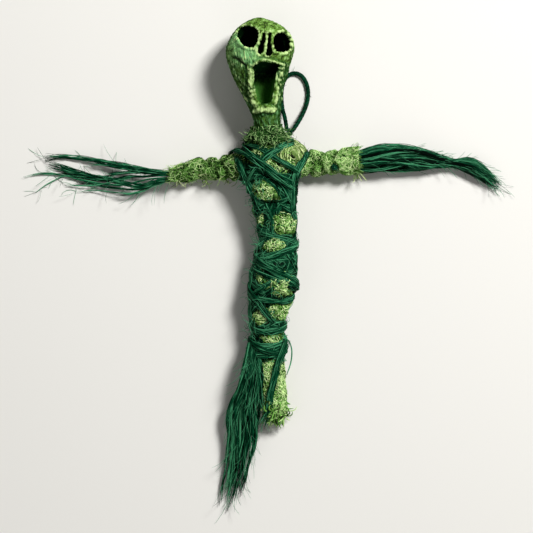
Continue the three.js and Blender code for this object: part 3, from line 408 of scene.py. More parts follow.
class Heap:
    """Closed meshes gathered into one piece, with a tone from dark to pale at each corner."""

    def __init__(self):
        self.corners, self.faces, self.tones = [], [], []
        self.count = 0

    def add(self, corners, faces, tones):
        """Takes in corners, blocks of faces over them, and a tone for each corner or one for all."""
        self.corners.append(np.asarray(corners, float).reshape(-1, 3))
        for block in faces:
            self.faces.append(np.asarray(block, int) + self.count)
        self.count += len(self.corners[-1])
        self.tones.append(np.broadcast_to(np.asarray(tones, float), (len(self.corners[-1]),)))

    def skin(self, rings, tones):
        """A closed skin over rings of corners, with a middle point at each end."""
        rows, sides, _ = rings.shape
        grid = np.arange(rows * sides).reshape(rows, sides)
        ahead = np.roll(grid, -1, axis=1)
        quads = np.stack([grid[:-1], ahead[:-1], ahead[1:], grid[1:]], axis=-1).reshape(-1, 4)
        ends = np.array([rings[0].mean(axis=0), rings[-1].mean(axis=0)])
        first = np.full(sides, rows * sides)
        caps = np.concatenate([np.stack([first, ahead[0], grid[0]], axis=-1),
                               np.stack([first + 1, grid[-1], ahead[-1]], axis=-1)])
        tones = np.broadcast_to(tones, (rows, sides))
        tones = np.concatenate([tones.ravel(), [tones[0].mean(), tones[-1].mean()]])
        self.add(np.concatenate([rings.reshape(-1, 3), ends]), [quads, caps], tones)

    def fibres(self, paths, width, tones, sides=3, tip=0.3):
        """A closed tube along each of the paths (fibres, steps, 3), thinner at both ends."""
        paths = above_table(np.array(paths, float), TABLE_GAP)
        count, steps, _ = paths.shape
        _, across, out = frames(paths, FIBRE_LEAN)
        t = np.linspace(0, 1, steps)
        slim = tip + (1 - tip) * np.minimum(1, 6 * np.minimum(t, 1 - t) + 0.1)
        half = np.broadcast_to(np.asarray(width, float), (count,))[:, None] / 2 * slim
        angles = ring_angles(sides)
        ring = (across[:, :, None] * np.cos(angles)[None, None, :, None]
                + out[:, :, None] * np.sin(angles)[None, None, :, None])
        corners = paths[:, :, None] + ring * half[:, :, None, None]
        grid = np.arange(count * steps * sides).reshape(count, steps, sides)
        ahead = np.roll(grid, -1, axis=2)
        quads = np.stack([grid[:, :-1], ahead[:, :-1], ahead[:, 1:], grid[:, 1:]], axis=-1).reshape(-1, 4)
        caps = np.concatenate([grid[:, 0, ::-1], grid[:, -1]])
        tones = np.asarray(tones, float)
        tones = tones[:, None] if tones.ndim == 1 else tones
        tones = np.broadcast_to(tones[:, :, None], (count, steps, sides))
        self.add(corners, [quads, caps], tones.ravel())

    def piece(self, name, material, body=None, slot=None, nodes=()):
        """The gathered meshes as one object that rides on a body and stands for the nodes."""
        mesh = bpy.data.meshes.new(name)
        corners = np.concatenate(self.corners)
        sizes_of_faces = np.concatenate([np.full(len(block), block.shape[1]) for block in self.faces])
        loops = np.concatenate([block.ravel() for block in self.faces])
        starts = np.concatenate([[0], np.cumsum(sizes_of_faces)[:-1]])
        mesh.vertices.add(len(corners))
        mesh.vertices.foreach_set("co", corners.astype(np.float32).ravel())
        mesh.loops.add(len(loops))
        mesh.loops.foreach_set("vertex_index", loops.astype(np.int32))
        mesh.polygons.add(len(starts))
        mesh.polygons.foreach_set("loop_start", starts.astype(np.int32))
        mesh.polygons.foreach_set("use_smooth", np.ones(len(starts), bool))
        tone = mesh.attributes.new("tone", "FLOAT", "POINT")
        tone.data.foreach_set("value", np.clip(np.concatenate(self.tones), 0, 1).astype(np.float32))
        mesh.update(calc_edges=True)
        made = bpy.data.objects.new(name, mesh)
        bpy.context.scene.collection.objects.link(made)
        if material:
            mesh.materials.append(material)
        if nodes:
            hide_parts(*nodes)
        if body:
            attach(made, body)
        return made


def moss_skin(heap, roll, low, high, seed, tone=0.1, lump=1.0 * MM):
    """The body of a roll between two shares of its length, lumpy, and dark under its fibres and in its
    creases as painted shade.
    """
    share, angle, flat, inward = roll.net(low, high, step=1.3 * MM, sides=56, end=2.2 * MM)
    bumps = lump * (0.7 * wobble(flat, 5 * MM, seed) + 0.5 * wobble(flat, 2.2 * MM, seed + 1)) - 0.5 * MM
    rings = above_table(roll.points(share, angle, bumps - (1 - np.sqrt(inward)) * 1.5 * MM))
    # Painted shade: the skin is dark under its fibres and darker still in the creases.
    tones = tone + 0.14 * wobble(flat, 4 * MM, seed + 2) - 0.3 * roll.sunk(share, angle)
    runs_back = np.cross(roll.aside, roll.rise) @ roll.along < 0
    heap.skin(rings[::-1] if runs_back else rings, tones[::-1] if runs_back else tones)


def moss_fibres(heap, roll, low, high, count, seed, reach, width, loft, heading, spread, curl, tone,
                steps=8, shown=None, under=1.0):
    """Curled fibres that lie on a roll between two shares of its length; heading 0 runs along it. Where
    the moss isn't shown they are dark as painted shade and lie low, and only the share under of them is
    there."""
    draw = np.random.default_rng(seed)
    share = draw.uniform(low, high, count)
    angle = draw.uniform(0, TURN, count)
    way = heading + spread * draw.normal(size=count) + math.pi * (draw.random(count) < 0.5)
    bend = curl * draw.normal(size=count)
    span = reach * draw.uniform(0.55, 1.3, count)
    top = loft * draw.uniform(0.25, 1.0, count) ** 1.3
    width = width * draw.uniform(0.7, 1.25, count)
    shares, angles = np.zeros((2, count, steps))
    half = steps // 2
    radius = np.maximum(roll.reach.mean(axis=1), 3 * MM)
    for k in range(steps):
        shares[:, k], angles[:, k] = share, angle
        here = radius[np.clip((share * (roll.STATIONS - 1)).astype(int), 0, roll.STATIONS - 1)]
        pace = span / (steps - 1)
        share = np.clip(share + np.cos(way) * pace / roll.length, low - 0.004, high + 0.004)
        angle = angle + np.sin(way) * pace / here
        way = way + bend * pace + 0.35 * draw.normal(size=count)
    if shown:
        open_here = shown(roll.points(shares[:, half], angles[:, half], 0.0))
        keep = (open_here > 0.05) | (draw.random(count) < under)
        shares, angles, open_here = shares[keep], angles[keep], open_here[keep]
        count, width = len(open_here), width[keep]
        top = top[keep] * (0.3 + 0.7 * open_here)
        # Painted shade and highlight: moss under the strands is darker, and it is paler towards the middle
        # of each window.
        tone = tone + 0.36 * open_here - 0.2
    t = np.linspace(0, 1, steps)
    lift = -0.35 * MM + top[:, None] * np.sin(math.pi * t) ** 0.7
    lift = lift + 0.12 * MM * draw.normal(size=(count, steps))
    paths = roll.points(shares, angles, lift)
    patch = wobble(paths[:, half], 7 * MM, seed + 5)
    # Painted light and shade: fibres that stand higher are paler, and fibres in the creases are darker; the
    # patches and the random part are the moss's own tones.
    shade = tone + 0.18 * patch + 0.3 * draw.normal(size=count) + 0.36 * (top / loft - 0.5)
    shade = shade - 0.45 * roll.sunk(shares[:, half], angles[:, half])
    heap.fibres(paths, width, shade)


def stray(heap, starts, ways, count, seed, reach, width, curl, tone, steps=6, droop=0.0, scatter=0.55):
    """Fine hairs that leave the given places and curl away."""
    draw = np.random.default_rng(seed)
    pick = draw.integers(0, len(starts), count)
    at = starts[pick].copy()
    way = unit(ways[pick] + scatter * draw.normal(size=(count, 3)))
    axis = unit(draw.normal(size=(count, 3)))
    span = reach * draw.uniform(0.3, 1.2, count)
    bend = curl * draw.normal(size=count)
    paths = np.zeros((count, steps, 3))
    for k in range(steps):
        paths[:, k] = at
        pace = (span / (steps - 1))[:, None]
        at = at + way * pace
        way = unit(way + np.cross(axis, way) * bend[:, None] * pace - UP * droop * pace / reach)
    width = width * draw.uniform(0.7, 1.2, count)
    heap.fibres(paths, width, tone + 0.22 * draw.normal(size=count), tip=0.2)


# Length of the waves in which a strand's fibres wander, and how far a ragged end opens out
FIBRE_WAVE = 22 * MM
RAGGED_FLARE = 1.2


def strand(heap, path, out, width, thick, fibres, seed, tone=0.5, wander=0.16, ragged=0.0):
    """A flat strand of fibres laid along a path; out points away from what it lies on, and its far
    end is ragged over a share of its length."""
    draw = np.random.default_rng(seed)
    _, across, out = frames(path, out)
    steps = len(path)
    t = np.linspace(0, 1, steps)
    ends = 1 - ragged * draw.random(fibres) ** 1.5
    each = np.arange(fibres)
    out_share = np.sqrt((each + 0.5) / fibres)
    u, v = out_share * np.cos(each * GOLDEN), out_share * np.sin(each * GOLDEN)
    waves = draw.uniform(0.5, 1.3, (fibres, 1)) * lengths_along(path)[-1] / FIBRE_WAVE
    phase = draw.uniform(0, TURN, (2, fibres, 1))
    u = u[:, None] + wander * np.sin(phase[0] + TURN * waves * t)
    v = v[:, None] + wander * np.sin(phase[1] + TURN * 0.8 * waves * t)
    apart = 1 + (RAGGED_FLARE * np.clip((t - 0.8) / 0.2, 0, 1) ** 1.5 if ragged else 0)
    size = sizes().twine_fibre
    paths = (path[None] + across[None] * (u * apart * (width - size) / 2)[..., None]
             + out[None] * (v * apart * max(thick - size, 0.4 * MM) / 2)[..., None])
    if ragged:
        at = ends[:, None] * t * (steps - 1)
        i = np.minimum(at.astype(int), steps - 2)
        row = each[:, None]
        paths = paths[row, i] + (at - i)[..., None] * (paths[row, i + 1] - paths[row, i])
    shade = tone + 0.27 * draw.normal(size=(fibres, 1))
    shade = shade + 0.15 * np.sin(phase[0] * 3 + TURN * 2 * waves * t)
    # Painted shade: fibres on the underside of the strand are darker, and those on top are paler.
    shade = shade + 0.16 * v
    heap.fibres(paths, size * draw.uniform(0.75, 1.2, fibres), shade)


def on_roll(roll, route, lift, step=1.8 * MM):
    """A path over a roll, by (millimetres along Y, degrees round it, further lift), and its ways out."""
    radius = float(roll.reach.mean())
    places = np.array([(*point, 0.0)[:3] for point in route])
    flat = np.stack([roll.share_at(places[:, 0] * MM) * roll.length, np.radians(places[:, 1]) * radius,
                     places[:, 2] * MM], axis=1)
    fine = smooth(flat, step)
    angle = fine[:, 1] / radius
    return roll.points(fine[:, 0] / roll.length, angle, lift + fine[:, 2]), roll.ways(angle)


# Materials
def new_group(name, inputs, outputs):
    """An empty shader node group with named sockets, and its two end nodes."""
    group = bpy.data.node_groups.new(name, "ShaderNodeTree")
    for way, sockets in (("INPUT", inputs), ("OUTPUT", outputs)):
        for socket, kind in sockets:
            group.interface.new_socket(socket, in_out=way, socket_type="NodeSocket" + kind)
    return group, group.nodes.new("NodeGroupInput"), group.nodes.new("NodeGroupOutput")


def add_node(tree, kind, values, **settings):
    """A shader node with its settings; each of its inputs takes a socket or a value."""
    node = tree.nodes.new("ShaderNode" + kind)
    for name, setting in settings.items():
        setattr(node, name, setting)
    for key, value in values.items():
        if isinstance(value, bpy.types.NodeSocket):
            tree.links.new(value, node.inputs[key])
        else:
            node.inputs[key].default_value = value
    return node


def noise(tree, size, detail, stretch=(1, 1, 1)):
    """A noise texture over the object's own space, with swells of a real size."""
    place = add_node(tree, "TexCoord", {}).outputs["Object"]
    scaled = add_node(tree, "Mapping", {"Vector": place, "Scale": stretch}).outputs["Vector"]
    grain = add_node(tree, "TexNoise", {"Vector": scaled, "Scale": 1 / size, "Detail": detail})
    return grain.outputs["Fac"]


def sum_of(tree, first, second, by):
    """first + by * (second - 0.5), kept from 0 to 1."""
    shifted = add_node(tree, "Math", {0: first, 1: by / 2}, operation="SUBTRACT").outputs[0]
    node = add_node(tree, "Math", {0: second, 1: by, 2: shifted}, operation="MULTIPLY_ADD", use_clamp=True)
    return node.outputs[0]


def ranged(tree, value, low, high):
    """value stretched so that low is 0 and high is 1."""
    node = add_node(tree, "MapRange", {"Value": value, "From Min": low, "From Max": high},
                    interpolation_type="SMOOTHSTEP")
    return node.outputs["Result"]


def mixed(tree, share, first, second):
    """A mix of two colours, each a socket or a colour."""
    return add_node(tree, "Mix", {"Factor": share, 6: first, 7: second}, data_type="RGBA").outputs[2]


def painted(tree, name):
    """A value painted on the corners of the mesh."""
    return add_node(tree, "Attribute", {}, attribute_name=name).outputs["Fac"]


def bumped(tree, shader, height, distance, strength=1.0):
    """Lets a height roughen the surface by up to a distance."""
    bump = add_node(tree, "Bump", {"Height": height, "Distance": distance, "Strength": strength})
    tree.links.new(bump.outputs["Normal"], shader.inputs["Normal"])


def new_material(name, roughness, shine=0.5):
    """A material with its node tree and its shader node."""
    material = bpy.data.materials.new(name)
    material.use_nodes = True
    shader = material.node_tree.nodes["Principled BSDF"]
    shader.inputs["Roughness"].default_value = roughness
    shader.inputs["Specular IOR Level"].default_value = shine
    return material, material.node_tree, shader


def fibre_tones():
    """Shared effect: dark to pale fibre colours by tone, with blotches of dye and fine streaks."""
    made = bpy.data.node_groups.get("fibre_tones")
    if made:
        return made
    group, start, end = new_group(
        "fibre_tones",
        [("Tone", "Float"), ("Dark", "Color"), ("Middle", "Color"), ("Pale", "Color")],
        [("Color", "Color"), ("Height", "Float")],
    )
    blotch = noise(group, 6 * MM, 2.0)
    streak = noise(group, 0.7 * MM, 3.0)
    tone = sum_of(group, sum_of(group, start.outputs["Tone"], blotch, 0.35), streak, 0.3)
    lower = mixed(group, ranged(group, tone, 0.05, 0.5), start.outputs["Dark"], start.outputs["Middle"])
    whole = mixed(group, ranged(group, tone, 0.5, 0.98), lower, start.outputs["Pale"])
    group.links.new(whole, end.inputs["Color"])
    group.links.new(streak, end.inputs["Height"])
    return group


# Materials of fibres, by the first word of their colours: the name and the roughness
FIBRE_FINISHES = {
    "moss": ("curled moss", 0.8),
    "straw": ("dry straw", 0.7),
    "collar": ("collar moss", 0.85),
    "twine": ("green twine", 0.6),
}


def fibre_finish(kind):
    """The material of moss, straw, collar or twine."""
    name, roughness = FIBRE_FINISHES[kind]
    made = bpy.data.materials.get(name)
    if made:
        return made
    material, tree, shader = new_material(name, roughness, 0.04)
    values = {socket: linear(getattr(colours(), f"{kind}_{socket.lower()}"))
              for socket in ("Dark", "Middle", "Pale")}
    values["Tone"] = painted(tree, "tone")
    effect = add_node(tree, "Group", values, node_tree=fibre_tones())
    tree.links.new(effect.outputs["Color"], shader.inputs["Base Color"])
    bumped(tree, shader, effect.outputs["Height"], 0.15 * MM, 0.35)
    return material


def bark_finish():
    """Rough bark for the sticks that the moss covers."""
    material, tree, shader = new_material("bark", 0.9)
    grain = noise(tree, 1.6 * MM, 6.0, (1, 0.2, 1))
    dark = tuple(0.35 * c for c in colours().bark)
    skin = mixed(tree, ranged(tree, grain, 0.3, 0.7), linear(dark), linear(colours().bark))
    tree.links.new(skin, shader.inputs["Base Color"])
    bumped(tree, shader, grain, 0.4 * MM)
    return material


def head_finish():
    """Dyed and worn skin of the head: stained sides with painted shade beside the lips, cool cheeks, pale
    rims, and a hollow painted near black as shade.
    """
    c = colours()
    material, tree, shader = new_material("dyed head", 0.65, 0.03)
    mottle = noise(tree, 2.6 * MM, 4.0)
    speck = noise(tree, 0.9 * MM, 3.0, (1, 0.35, 1))
    fine = sum_of(tree, mottle, speck, 0.7)
    shade = tuple(0.4 * v for v in c.head_green)
    skin = mixed(tree, ranged(tree, fine, 0.32, 0.54), linear(shade), linear(c.head_green))
    for share, over in (
        (ranged(tree, fine, 0.53, 0.72), c.head_bright),
        # Stains, the darker back of the head, and painted shade beside the lips.
        (sum_of(tree, painted(tree, "side"), fine, 0.8), c.head_stain_and_shade),
        (sum_of(tree, painted(tree, "cheek"), fine, 0.9), c.head_cheek),
        (ranged(tree, sum_of(tree, painted(tree, "rim"), fine, 1.1), 0.22, 0.9), c.head_rim),
        (ranged(tree, sum_of(tree, painted(tree, "crack"), speck, 0.5), 0.3, 1.4), c.head_crack),
        # Painted shade: near black inside the head and in the cheek slit.
        (painted(tree, "hollow"), c.head_hollow),
    ):
        skin = mixed(tree, share, skin, linear(over))
    tree.links.new(skin, shader.inputs["Base Color"])
    bumped(tree, shader, fine, 0.5 * MM, 0.8)
    return material


def hollow_finish():
    """Dull inside of the head: near black above as painted shade, and green down in the throat."""
    c = colours()
    material, tree, shader = new_material("head hollow", 1.0, 0.0)
    spots = sum_of(tree, painted(tree, "throat"), noise(tree, 1.8 * MM, 4.0), 1.3)
    # Painted shade: near black where the throat paint is low.
    skin = mixed(tree, ranged(tree, spots, 0.05, 1.25), linear(c.head_hollow), linear(c.head_throat))
    tree.links.new(skin, shader.inputs["Base Color"])
    return material


# Places on the frame
# The leg's roll starts this far above the tufts' ends
LEG_TUFTS = 5.5 * MM


def torso_roll():
    """Chest, body and leg as one roll, from the foot up; 0 degrees is the right side, 90 the front."""
    low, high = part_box("leg_moss")[0].y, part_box("chest_moss")[1].y
    leg, chest = middle_of("leg_moss"), middle_of("chest_moss")
    foot, top = (leg.x, low + LEG_TUFTS, leg.z), (chest.x, high, chest.z)
    return Roll(("leg_moss", "body_moss", "chest_moss"), foot, top, (1, 0, 0))


def arm_roll(node, hand):
    """An arm's roll, from the middle of the chest out to the wrist."""
    wrist = np.array(hinge(hand)["pos_m"])
    low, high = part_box(node)
    root = middle_of("cross_stick")
    slope = np.array((root.x, root.y, wrist[2]))
    way = unit(wrist - slope)
    inner, outer = (low.x, high.x) if way[0] > 0 else (high.x, low.x)
    start = slope + way * ((inner - slope[0]) / way[0])
    end = slope + way * ((outer - slope[0]) / way[0])
    return Roll((node,), start, end, (0, 1, 0))


def neck_roll():
    """The collar's roll along the axis that the head turns on, from the chest up."""
    low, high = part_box("neck_moss")
    axis = np.array(hinge("head_turn")["axis"])
    foot = np.array(hinge("head_turn")["pos_m"])
    start = foot - axis * ((foot[1] - low.y) / axis[1])
    end = foot - axis * ((foot[1] - high.y) / axis[1])
    return Roll(("neck_moss",), start, end, (1, 0, 0))


# Stage
# The camera shows this width at this height, from as far above it as the rise in metres
VIEW_WIDTH = 319.8 * MM
VIEW_HEIGHT = 10 * MM
CAMERA_RISE = 4.0
# Lamps: name, place in metres, power in watts and size in metres
LAMPS = [
    ("key lamp", (0.75, 0.85, 1.25), 37.0, 0.4),
    ("fill lamp", (-1.1, -0.5, 1.1), 2.4, 1.2),
    ("low lamp", (0.2, -1.3, 0.7), 2.4, 0.9),
]
WORLD_LIGHT = 0.12
FLOOR_REACH, FLOOR_DEPTH = 3.0, 0.02


class DOLL_OT_stage(bpy.types.Operator):
    """Camera straight above, soft studio lamps and a pale floor"""
    bl_idname = "doll.stage"
    bl_label = "Stage"

    def execute(self, context):
        scene = context.scene
        self.camera(scene)
        for lamp in LAMPS:
            self.lamp(scene, *lamp)
        world = bpy.data.worlds.new("studio")
        world.use_nodes = True
        light = world.node_tree.nodes["Background"]
        light.inputs["Color"].default_value = (1, 1, 1, 1)
        light.inputs["Strength"].default_value = WORLD_LIGHT
        scene.world = world
        scene.view_settings.view_transform = "Standard"
        self.floor()
        return {"FINISHED"}

    def camera(self, scene):
        camera = bpy.data.objects.new("camera", bpy.data.cameras.new("camera"))
        camera.location = (0, 0, VIEW_HEIGHT + CAMERA_RISE)
        camera.data.lens = camera.data.sensor_width * CAMERA_RISE / VIEW_WIDTH
        camera.data.clip_end = 5 * CAMERA_RISE
        scene.collection.objects.link(camera)
        scene.camera = camera

    def lamp(self, scene, name, place, power, size):
        lamp = bpy.data.objects.new(name, bpy.data.lights.new(name, "AREA"))
        lamp.data.energy = power
        lamp.data.size = size
        lamp.location = place
        lamp.rotation_euler = (-Vector(place)).to_track_quat("-Z", "Y").to_euler()
        scene.collection.objects.link(lamp)

    def floor(self):
        square = FLOOR_REACH * np.array(((-1, -1), (1, -1), (1, 1), (-1, 1)))
        slab = np.array([[(x, y, z) for x, y in square] for z in (-FLOOR_DEPTH, 0.0)])
        heap = Heap()
        heap.skin(slab, 0.5)
        material, _, shader = new_material("floor", 0.8)
        shader.inputs["Base Color"].default_value = linear(colours().floor)
        floor = heap.piece("floor", material)
        floor.data.shade_flat()


# Hanging loop
# Middle of the cord from the knot round to the knot again, in millimetres
LOOP_ROUTE = [
    (12.2, 81.7, 11.4), (11.8, 84.8, 9.4), (11, 89.4, 6.4), (9.8, 94, 3.6), (9.2, 98.6, 2),
    (9, 103, 1.5), (9.4, 107.6, 1.4), (10.8, 112, 1.4), (13.6, 115.2, 1.4), (17.2, 116.2, 1.4),
    (20.8, 114.8, 1.4), (23.4, 111.4, 1.4), (24.8, 107, 1.4), (25, 102.4, 1.4), (24.2, 97.8, 1.8),
    (22.4, 93, 3.4), (20.2, 88.6, 6), (17.8, 84.6, 9.2), (15.7, 81.5, 11.4),
]
# A way that the cord never runs along, to measure its twist from
LOOP_LEAN = (0.13, 0.11, 0.98)
LOOP_SIDES, LOOP_FIBRES = 20, 18
PLIES, PLY_PITCH = 3, 8 * MM
# How far the knot is drawn from its solid to the ends of the cord, as a share, how far its turns lie
# within the solid, and its size across, along and deep
KNOT_SHIFT = 0.45
KNOT_INSET = 1.3 * MM
KNOT_SIZE = (1.05, 1.4, 0.85)


class DOLL_OT_loop(bpy.types.Operator):
    """Hanging loop of twisted cord beside the neck, with its stray hairs and its knot"""
    bl_idname = "doll.loop"
    bl_label = "Hanging loop"

    def execute(self, context):
        half = sizes().loop_cord / 2
        path = smooth(np.array(LOOP_ROUTE) * MM, 0.5 * MM)
        run = lengths_along(path)
        along, across, out = frames(path, LOOP_LEAN)
        angle = ring_angles(LOOP_SIDES)
        ply = PLIES / 2 * (angle[None] - TURN * run[:, None] / PLY_PITCH)
        reach = half * (0.8 + 0.2 * np.abs(np.cos(ply)) ** 0.7)
        ring = across[:, None] * np.cos(angle)[:, None] + out[:, None] * np.sin(angle)[:, None]
        # Painted shade: darker in the grooves between the plies, paler on their crests.
        tones = 0.12 + 0.2 * np.abs(np.cos(ply)) + 0.1 * wobble(path, 3 * MM, 71)[:, None]
        heap = Heap()
        heap.skin(above_table(path[:, None] + ring * reach[..., None]), tones)
        turn = TURN * run / PLY_PITCH
        for k in range(LOOP_FIBRES):
            draw = np.random.default_rng(700 + k)
            lag = turn + k * TURN / LOOP_FIBRES + 0.3 * np.sin(run / (9 * MM) + draw.uniform(0, TURN))
            way = across * np.cos(lag)[:, None] + out * np.sin(lag)[:, None]
            heap.fibres((path + way * half * 0.88)[None, ::2], 0.34 * MM, [0.34 + 0.14 * draw.normal()])
        cord = heap.piece("hang_loop_cord", fibre_finish("twine"), "hang_loop", "cord", ("hang_loop",))
        hairs = Heap()
        free = slice(14, -14)
        for aside, seed in ((0.5, 72), (-0.5, 73)):
            ways = unit(along + aside * across)
            stray(hairs, path[free], ways[free], count=12, seed=seed, reach=4 * MM, width=sizes().fuzz_fibre,
                  curl=260, tone=0.7)
        fuzz = hairs.piece("hang_loop_hairs", fibre_finish("twine"), "hang_loop", "cord")
        self.knot()
        return {"FINISHED"}

    def knot(self):
        """Two turns of cord drawn tight round the ends of the loop."""
        low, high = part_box("loop_knot")
        middle, half = np.array(middle_of("loop_knot")), (high - low).x / 2
        ends = np.array((LOOP_ROUTE[0], LOOP_ROUTE[-1])) * MM
        middle = middle + KNOT_SHIFT * (ends.mean(axis=0) - middle)
        heap = Heap()
        t = np.linspace(0, TURN, 90)
        tight = half - KNOT_INSET
        wide, long, deep = KNOT_SIZE
        waist = 0.72 + 0.28 * np.cos(3 * t)
        path = middle + tight * np.stack([
            wide * np.cos(2 * t) * waist,
            long * np.sin(2 * t) * waist,
            deep * np.sin(3 * t),
        ], axis=1)
        out = unit(path - middle)
        strand(heap, path, out, width=2.1 * MM, thick=1.8 * MM, fibres=12, seed=75, tone=0.42)
        stray(heap, path, out, count=30, seed=76, reach=2 * MM, width=sizes().fuzz_fibre, curl=260,
              tone=0.55)
        heap.piece("loop_knot_turns", fibre_finish("twine"), "figure", "cord", ("loop_knot",))


# Head
# How far the face looks aside, and where the hollow starts and ends above the foot of the neck
HEAD_TURN = math.radians(12)
HOLLOW_FOOT, HOLLOW_TOP = 13 * MM, 59.4 * MM
# Places on the face are millimetres right of the head's axis and up from the foot of the neck
LEFT_EYE = [(-11.0, 60.2), (-8.9, 60.9), (-6.8, 60.8), (-4.9, 59.8), (-3.7, 58.1), (-3.6, 56.2),
            (-4.3, 53.6), (-5.8, 50.6), (-7.8, 48.6), (-10.0, 48.8), (-12.2, 49.8), (-13.8, 52.2),
            (-14.2, 55.6), (-13.0, 58.4)]
RIGHT_EYE = [(8.6, 55.5), (11.7, 55.7), (14.9, 54.2), (16.7, 51.8), (16.5, 48.3), (15.3, 45.1),
             (12.9, 43.9), (9.1, 44.0), (6.0, 44.8), (4.8, 47.0), (4.7, 50.8), (5.1, 52.8), (6.8, 54.6)]
LEFT_NOSTRIL = [(-1.0, 56.4), (0.4, 56.0), (-0.5, 51.7), (-1.4, 47.5), (-2.4, 44.9), (-4.2, 44.1),
                (-5.4, 45.5), (-4.8, 48.4), (-3.1, 52.6)]
RIGHT_NOSTRIL = [(2.6, 56.2), (4.2, 56.2), (3.9, 53.4), (3.3, 50.3), (3.5, 47.1), (3.2, 43.8), (1.5, 42.9),
                 (-0.5, 43.5), (-0.1, 46.4), (0.7, 50.6), (1.7, 54.2)]
MOUTH = [(-9.3, 37.3), (-6.2, 38.4), (-2.6, 39.0), (0.7, 38.3), (4.0, 37.4), (7.6, 36.2), (6.5, 33.6),
         (5.0, 30.5), (4.0, 26.2), (3.3, 22.5), (2.2, 18.8), (1.0, 14.9), (-2.2, 14.4), (-4.8, 14.2),
         (-6.4, 17.4), (-7.4, 20.7), (-7.1, 23.5), (-8.0, 27.4), (-8.4, 31.8), (-8.8, 35.1)]
# Openings: the room that is cut round each and the height of its bead in millimetres, how pale its rim is
# and how much paler where it is worn
OPENINGS = [
    (LEFT_EYE, 1.2, 0.7, 0.2, 0.75),
    (RIGHT_EYE, 0.9, 0.8, 0.2, 0.75),
    (LEFT_NOSTRIL, 0.5, 0.4, 0.2, 0.75),
    (RIGHT_NOSTRIL, 0.8, 0.4, 0.2, 0.75),
    (MOUTH, 0.8, 0.0, 0.0, 0.6),
]
# Half width of those beads, and the middle and half width of the pale rim, from the edge outward
RIM_BEAD, RIM_MIDDLE, RIM_HALF = 1.1, 0.8, 0.5
# Beads round the mouth: their line, half width, height and how pale they are worn
LIPS = [
    ([(-10.6, 37.6), (-10.0, 31.9), (-10.2, 24.9)], 1.6, 1.5, 0.3),
    ([(-9.6, 22.6), (-8.5, 16.4), (-5.8, 12.4)], 1.8, 1.6, 0.35),
    ([(9.0, 35.0), (8.0, 30.1), (6.0, 24.9), (5.3, 19.5), (3.6, 13.6)], 1.6, 1.5, 0.15),
    ([(-8.4, 38.4), (-5.6, 40.0), (-2.5, 40.8), (0.8, 40.2), (4.1, 39.1), (11.3, 36.0)], 0.9, 0.9, 0.35),
    ([(-6.7, 10.4), (-4.1, 11.0), (-1.2, 10.8), (2.6, 10.2)], 2.5, 2.2, 0.7),
]
# Crack in the left cheek, ridge between the nose slots, and brows with their half width and height
CHEEK_SLIT = [(-18.3, 43.3), (-15.8, 41.1), (-12.8, 37.6)]
SEPTUM = [(1.4, 57.0), (0.6, 51.0), (-0.6, 45.0)]
BROWS = [([(-14.5, 60.5), (-9.0, 63.0), (-3.5, 62.5), (0.5, 59.0)], 2.2, 0.7),
         ([(2.5, 58.0), (8.0, 58.4), (13.5, 57.0), (17.5, 53.0)], 2.2, 0.8)]
# Pale spots on the left of the face: their middles and half sizes
CHEEK_SPOT = (-12, 44.6), (6.4, 6.2)
TEMPLE_SPOT = (-16.5, 54), (3.2, 6)


def oval_spot(x, y, middle, half):
    """1 in the middle of an oval, falling away softly to its edge."""
    return np.exp(-(((x - middle[0]) / half[0]) ** 2 + ((y - middle[1]) / half[1]) ** 2))


def line_distance(points, line, closed=False):
    """Distance of flat points from a line of straight runs."""
    line = np.array(line, float)
    ends = np.roll(line, -1, axis=0) if closed else line[1:]
    best = np.full(len(points), np.inf)
    for start, end in zip(line, ends):
        run = end - start
        t = np.clip((points - start) @ run / (run @ run), 0, 1)
        best = np.minimum(best, np.linalg.norm(points - start - t[:, None] * run, axis=1))
    return best


def outline_distance(points, outline):
    """Distance of flat points from a closed outline, negative inside it."""
    inside = np.zeros(len(points), bool)
    outline = np.array(outline, float)
    for (x0, y0), (x1, y1) in zip(outline, np.roll(outline, -1, axis=0)):
        crossed = (y0 > points[:, 1]) != (y1 > points[:, 1])
        slope = (x1 - x0) / (y1 - y0 if y1 != y0 else TINY)
        inside ^= crossed & (points[:, 0] < x0 + (points[:, 1] - y0) * slope)
    distance = line_distance(points, outline, closed=True)
    return np.where(inside, -distance, distance)


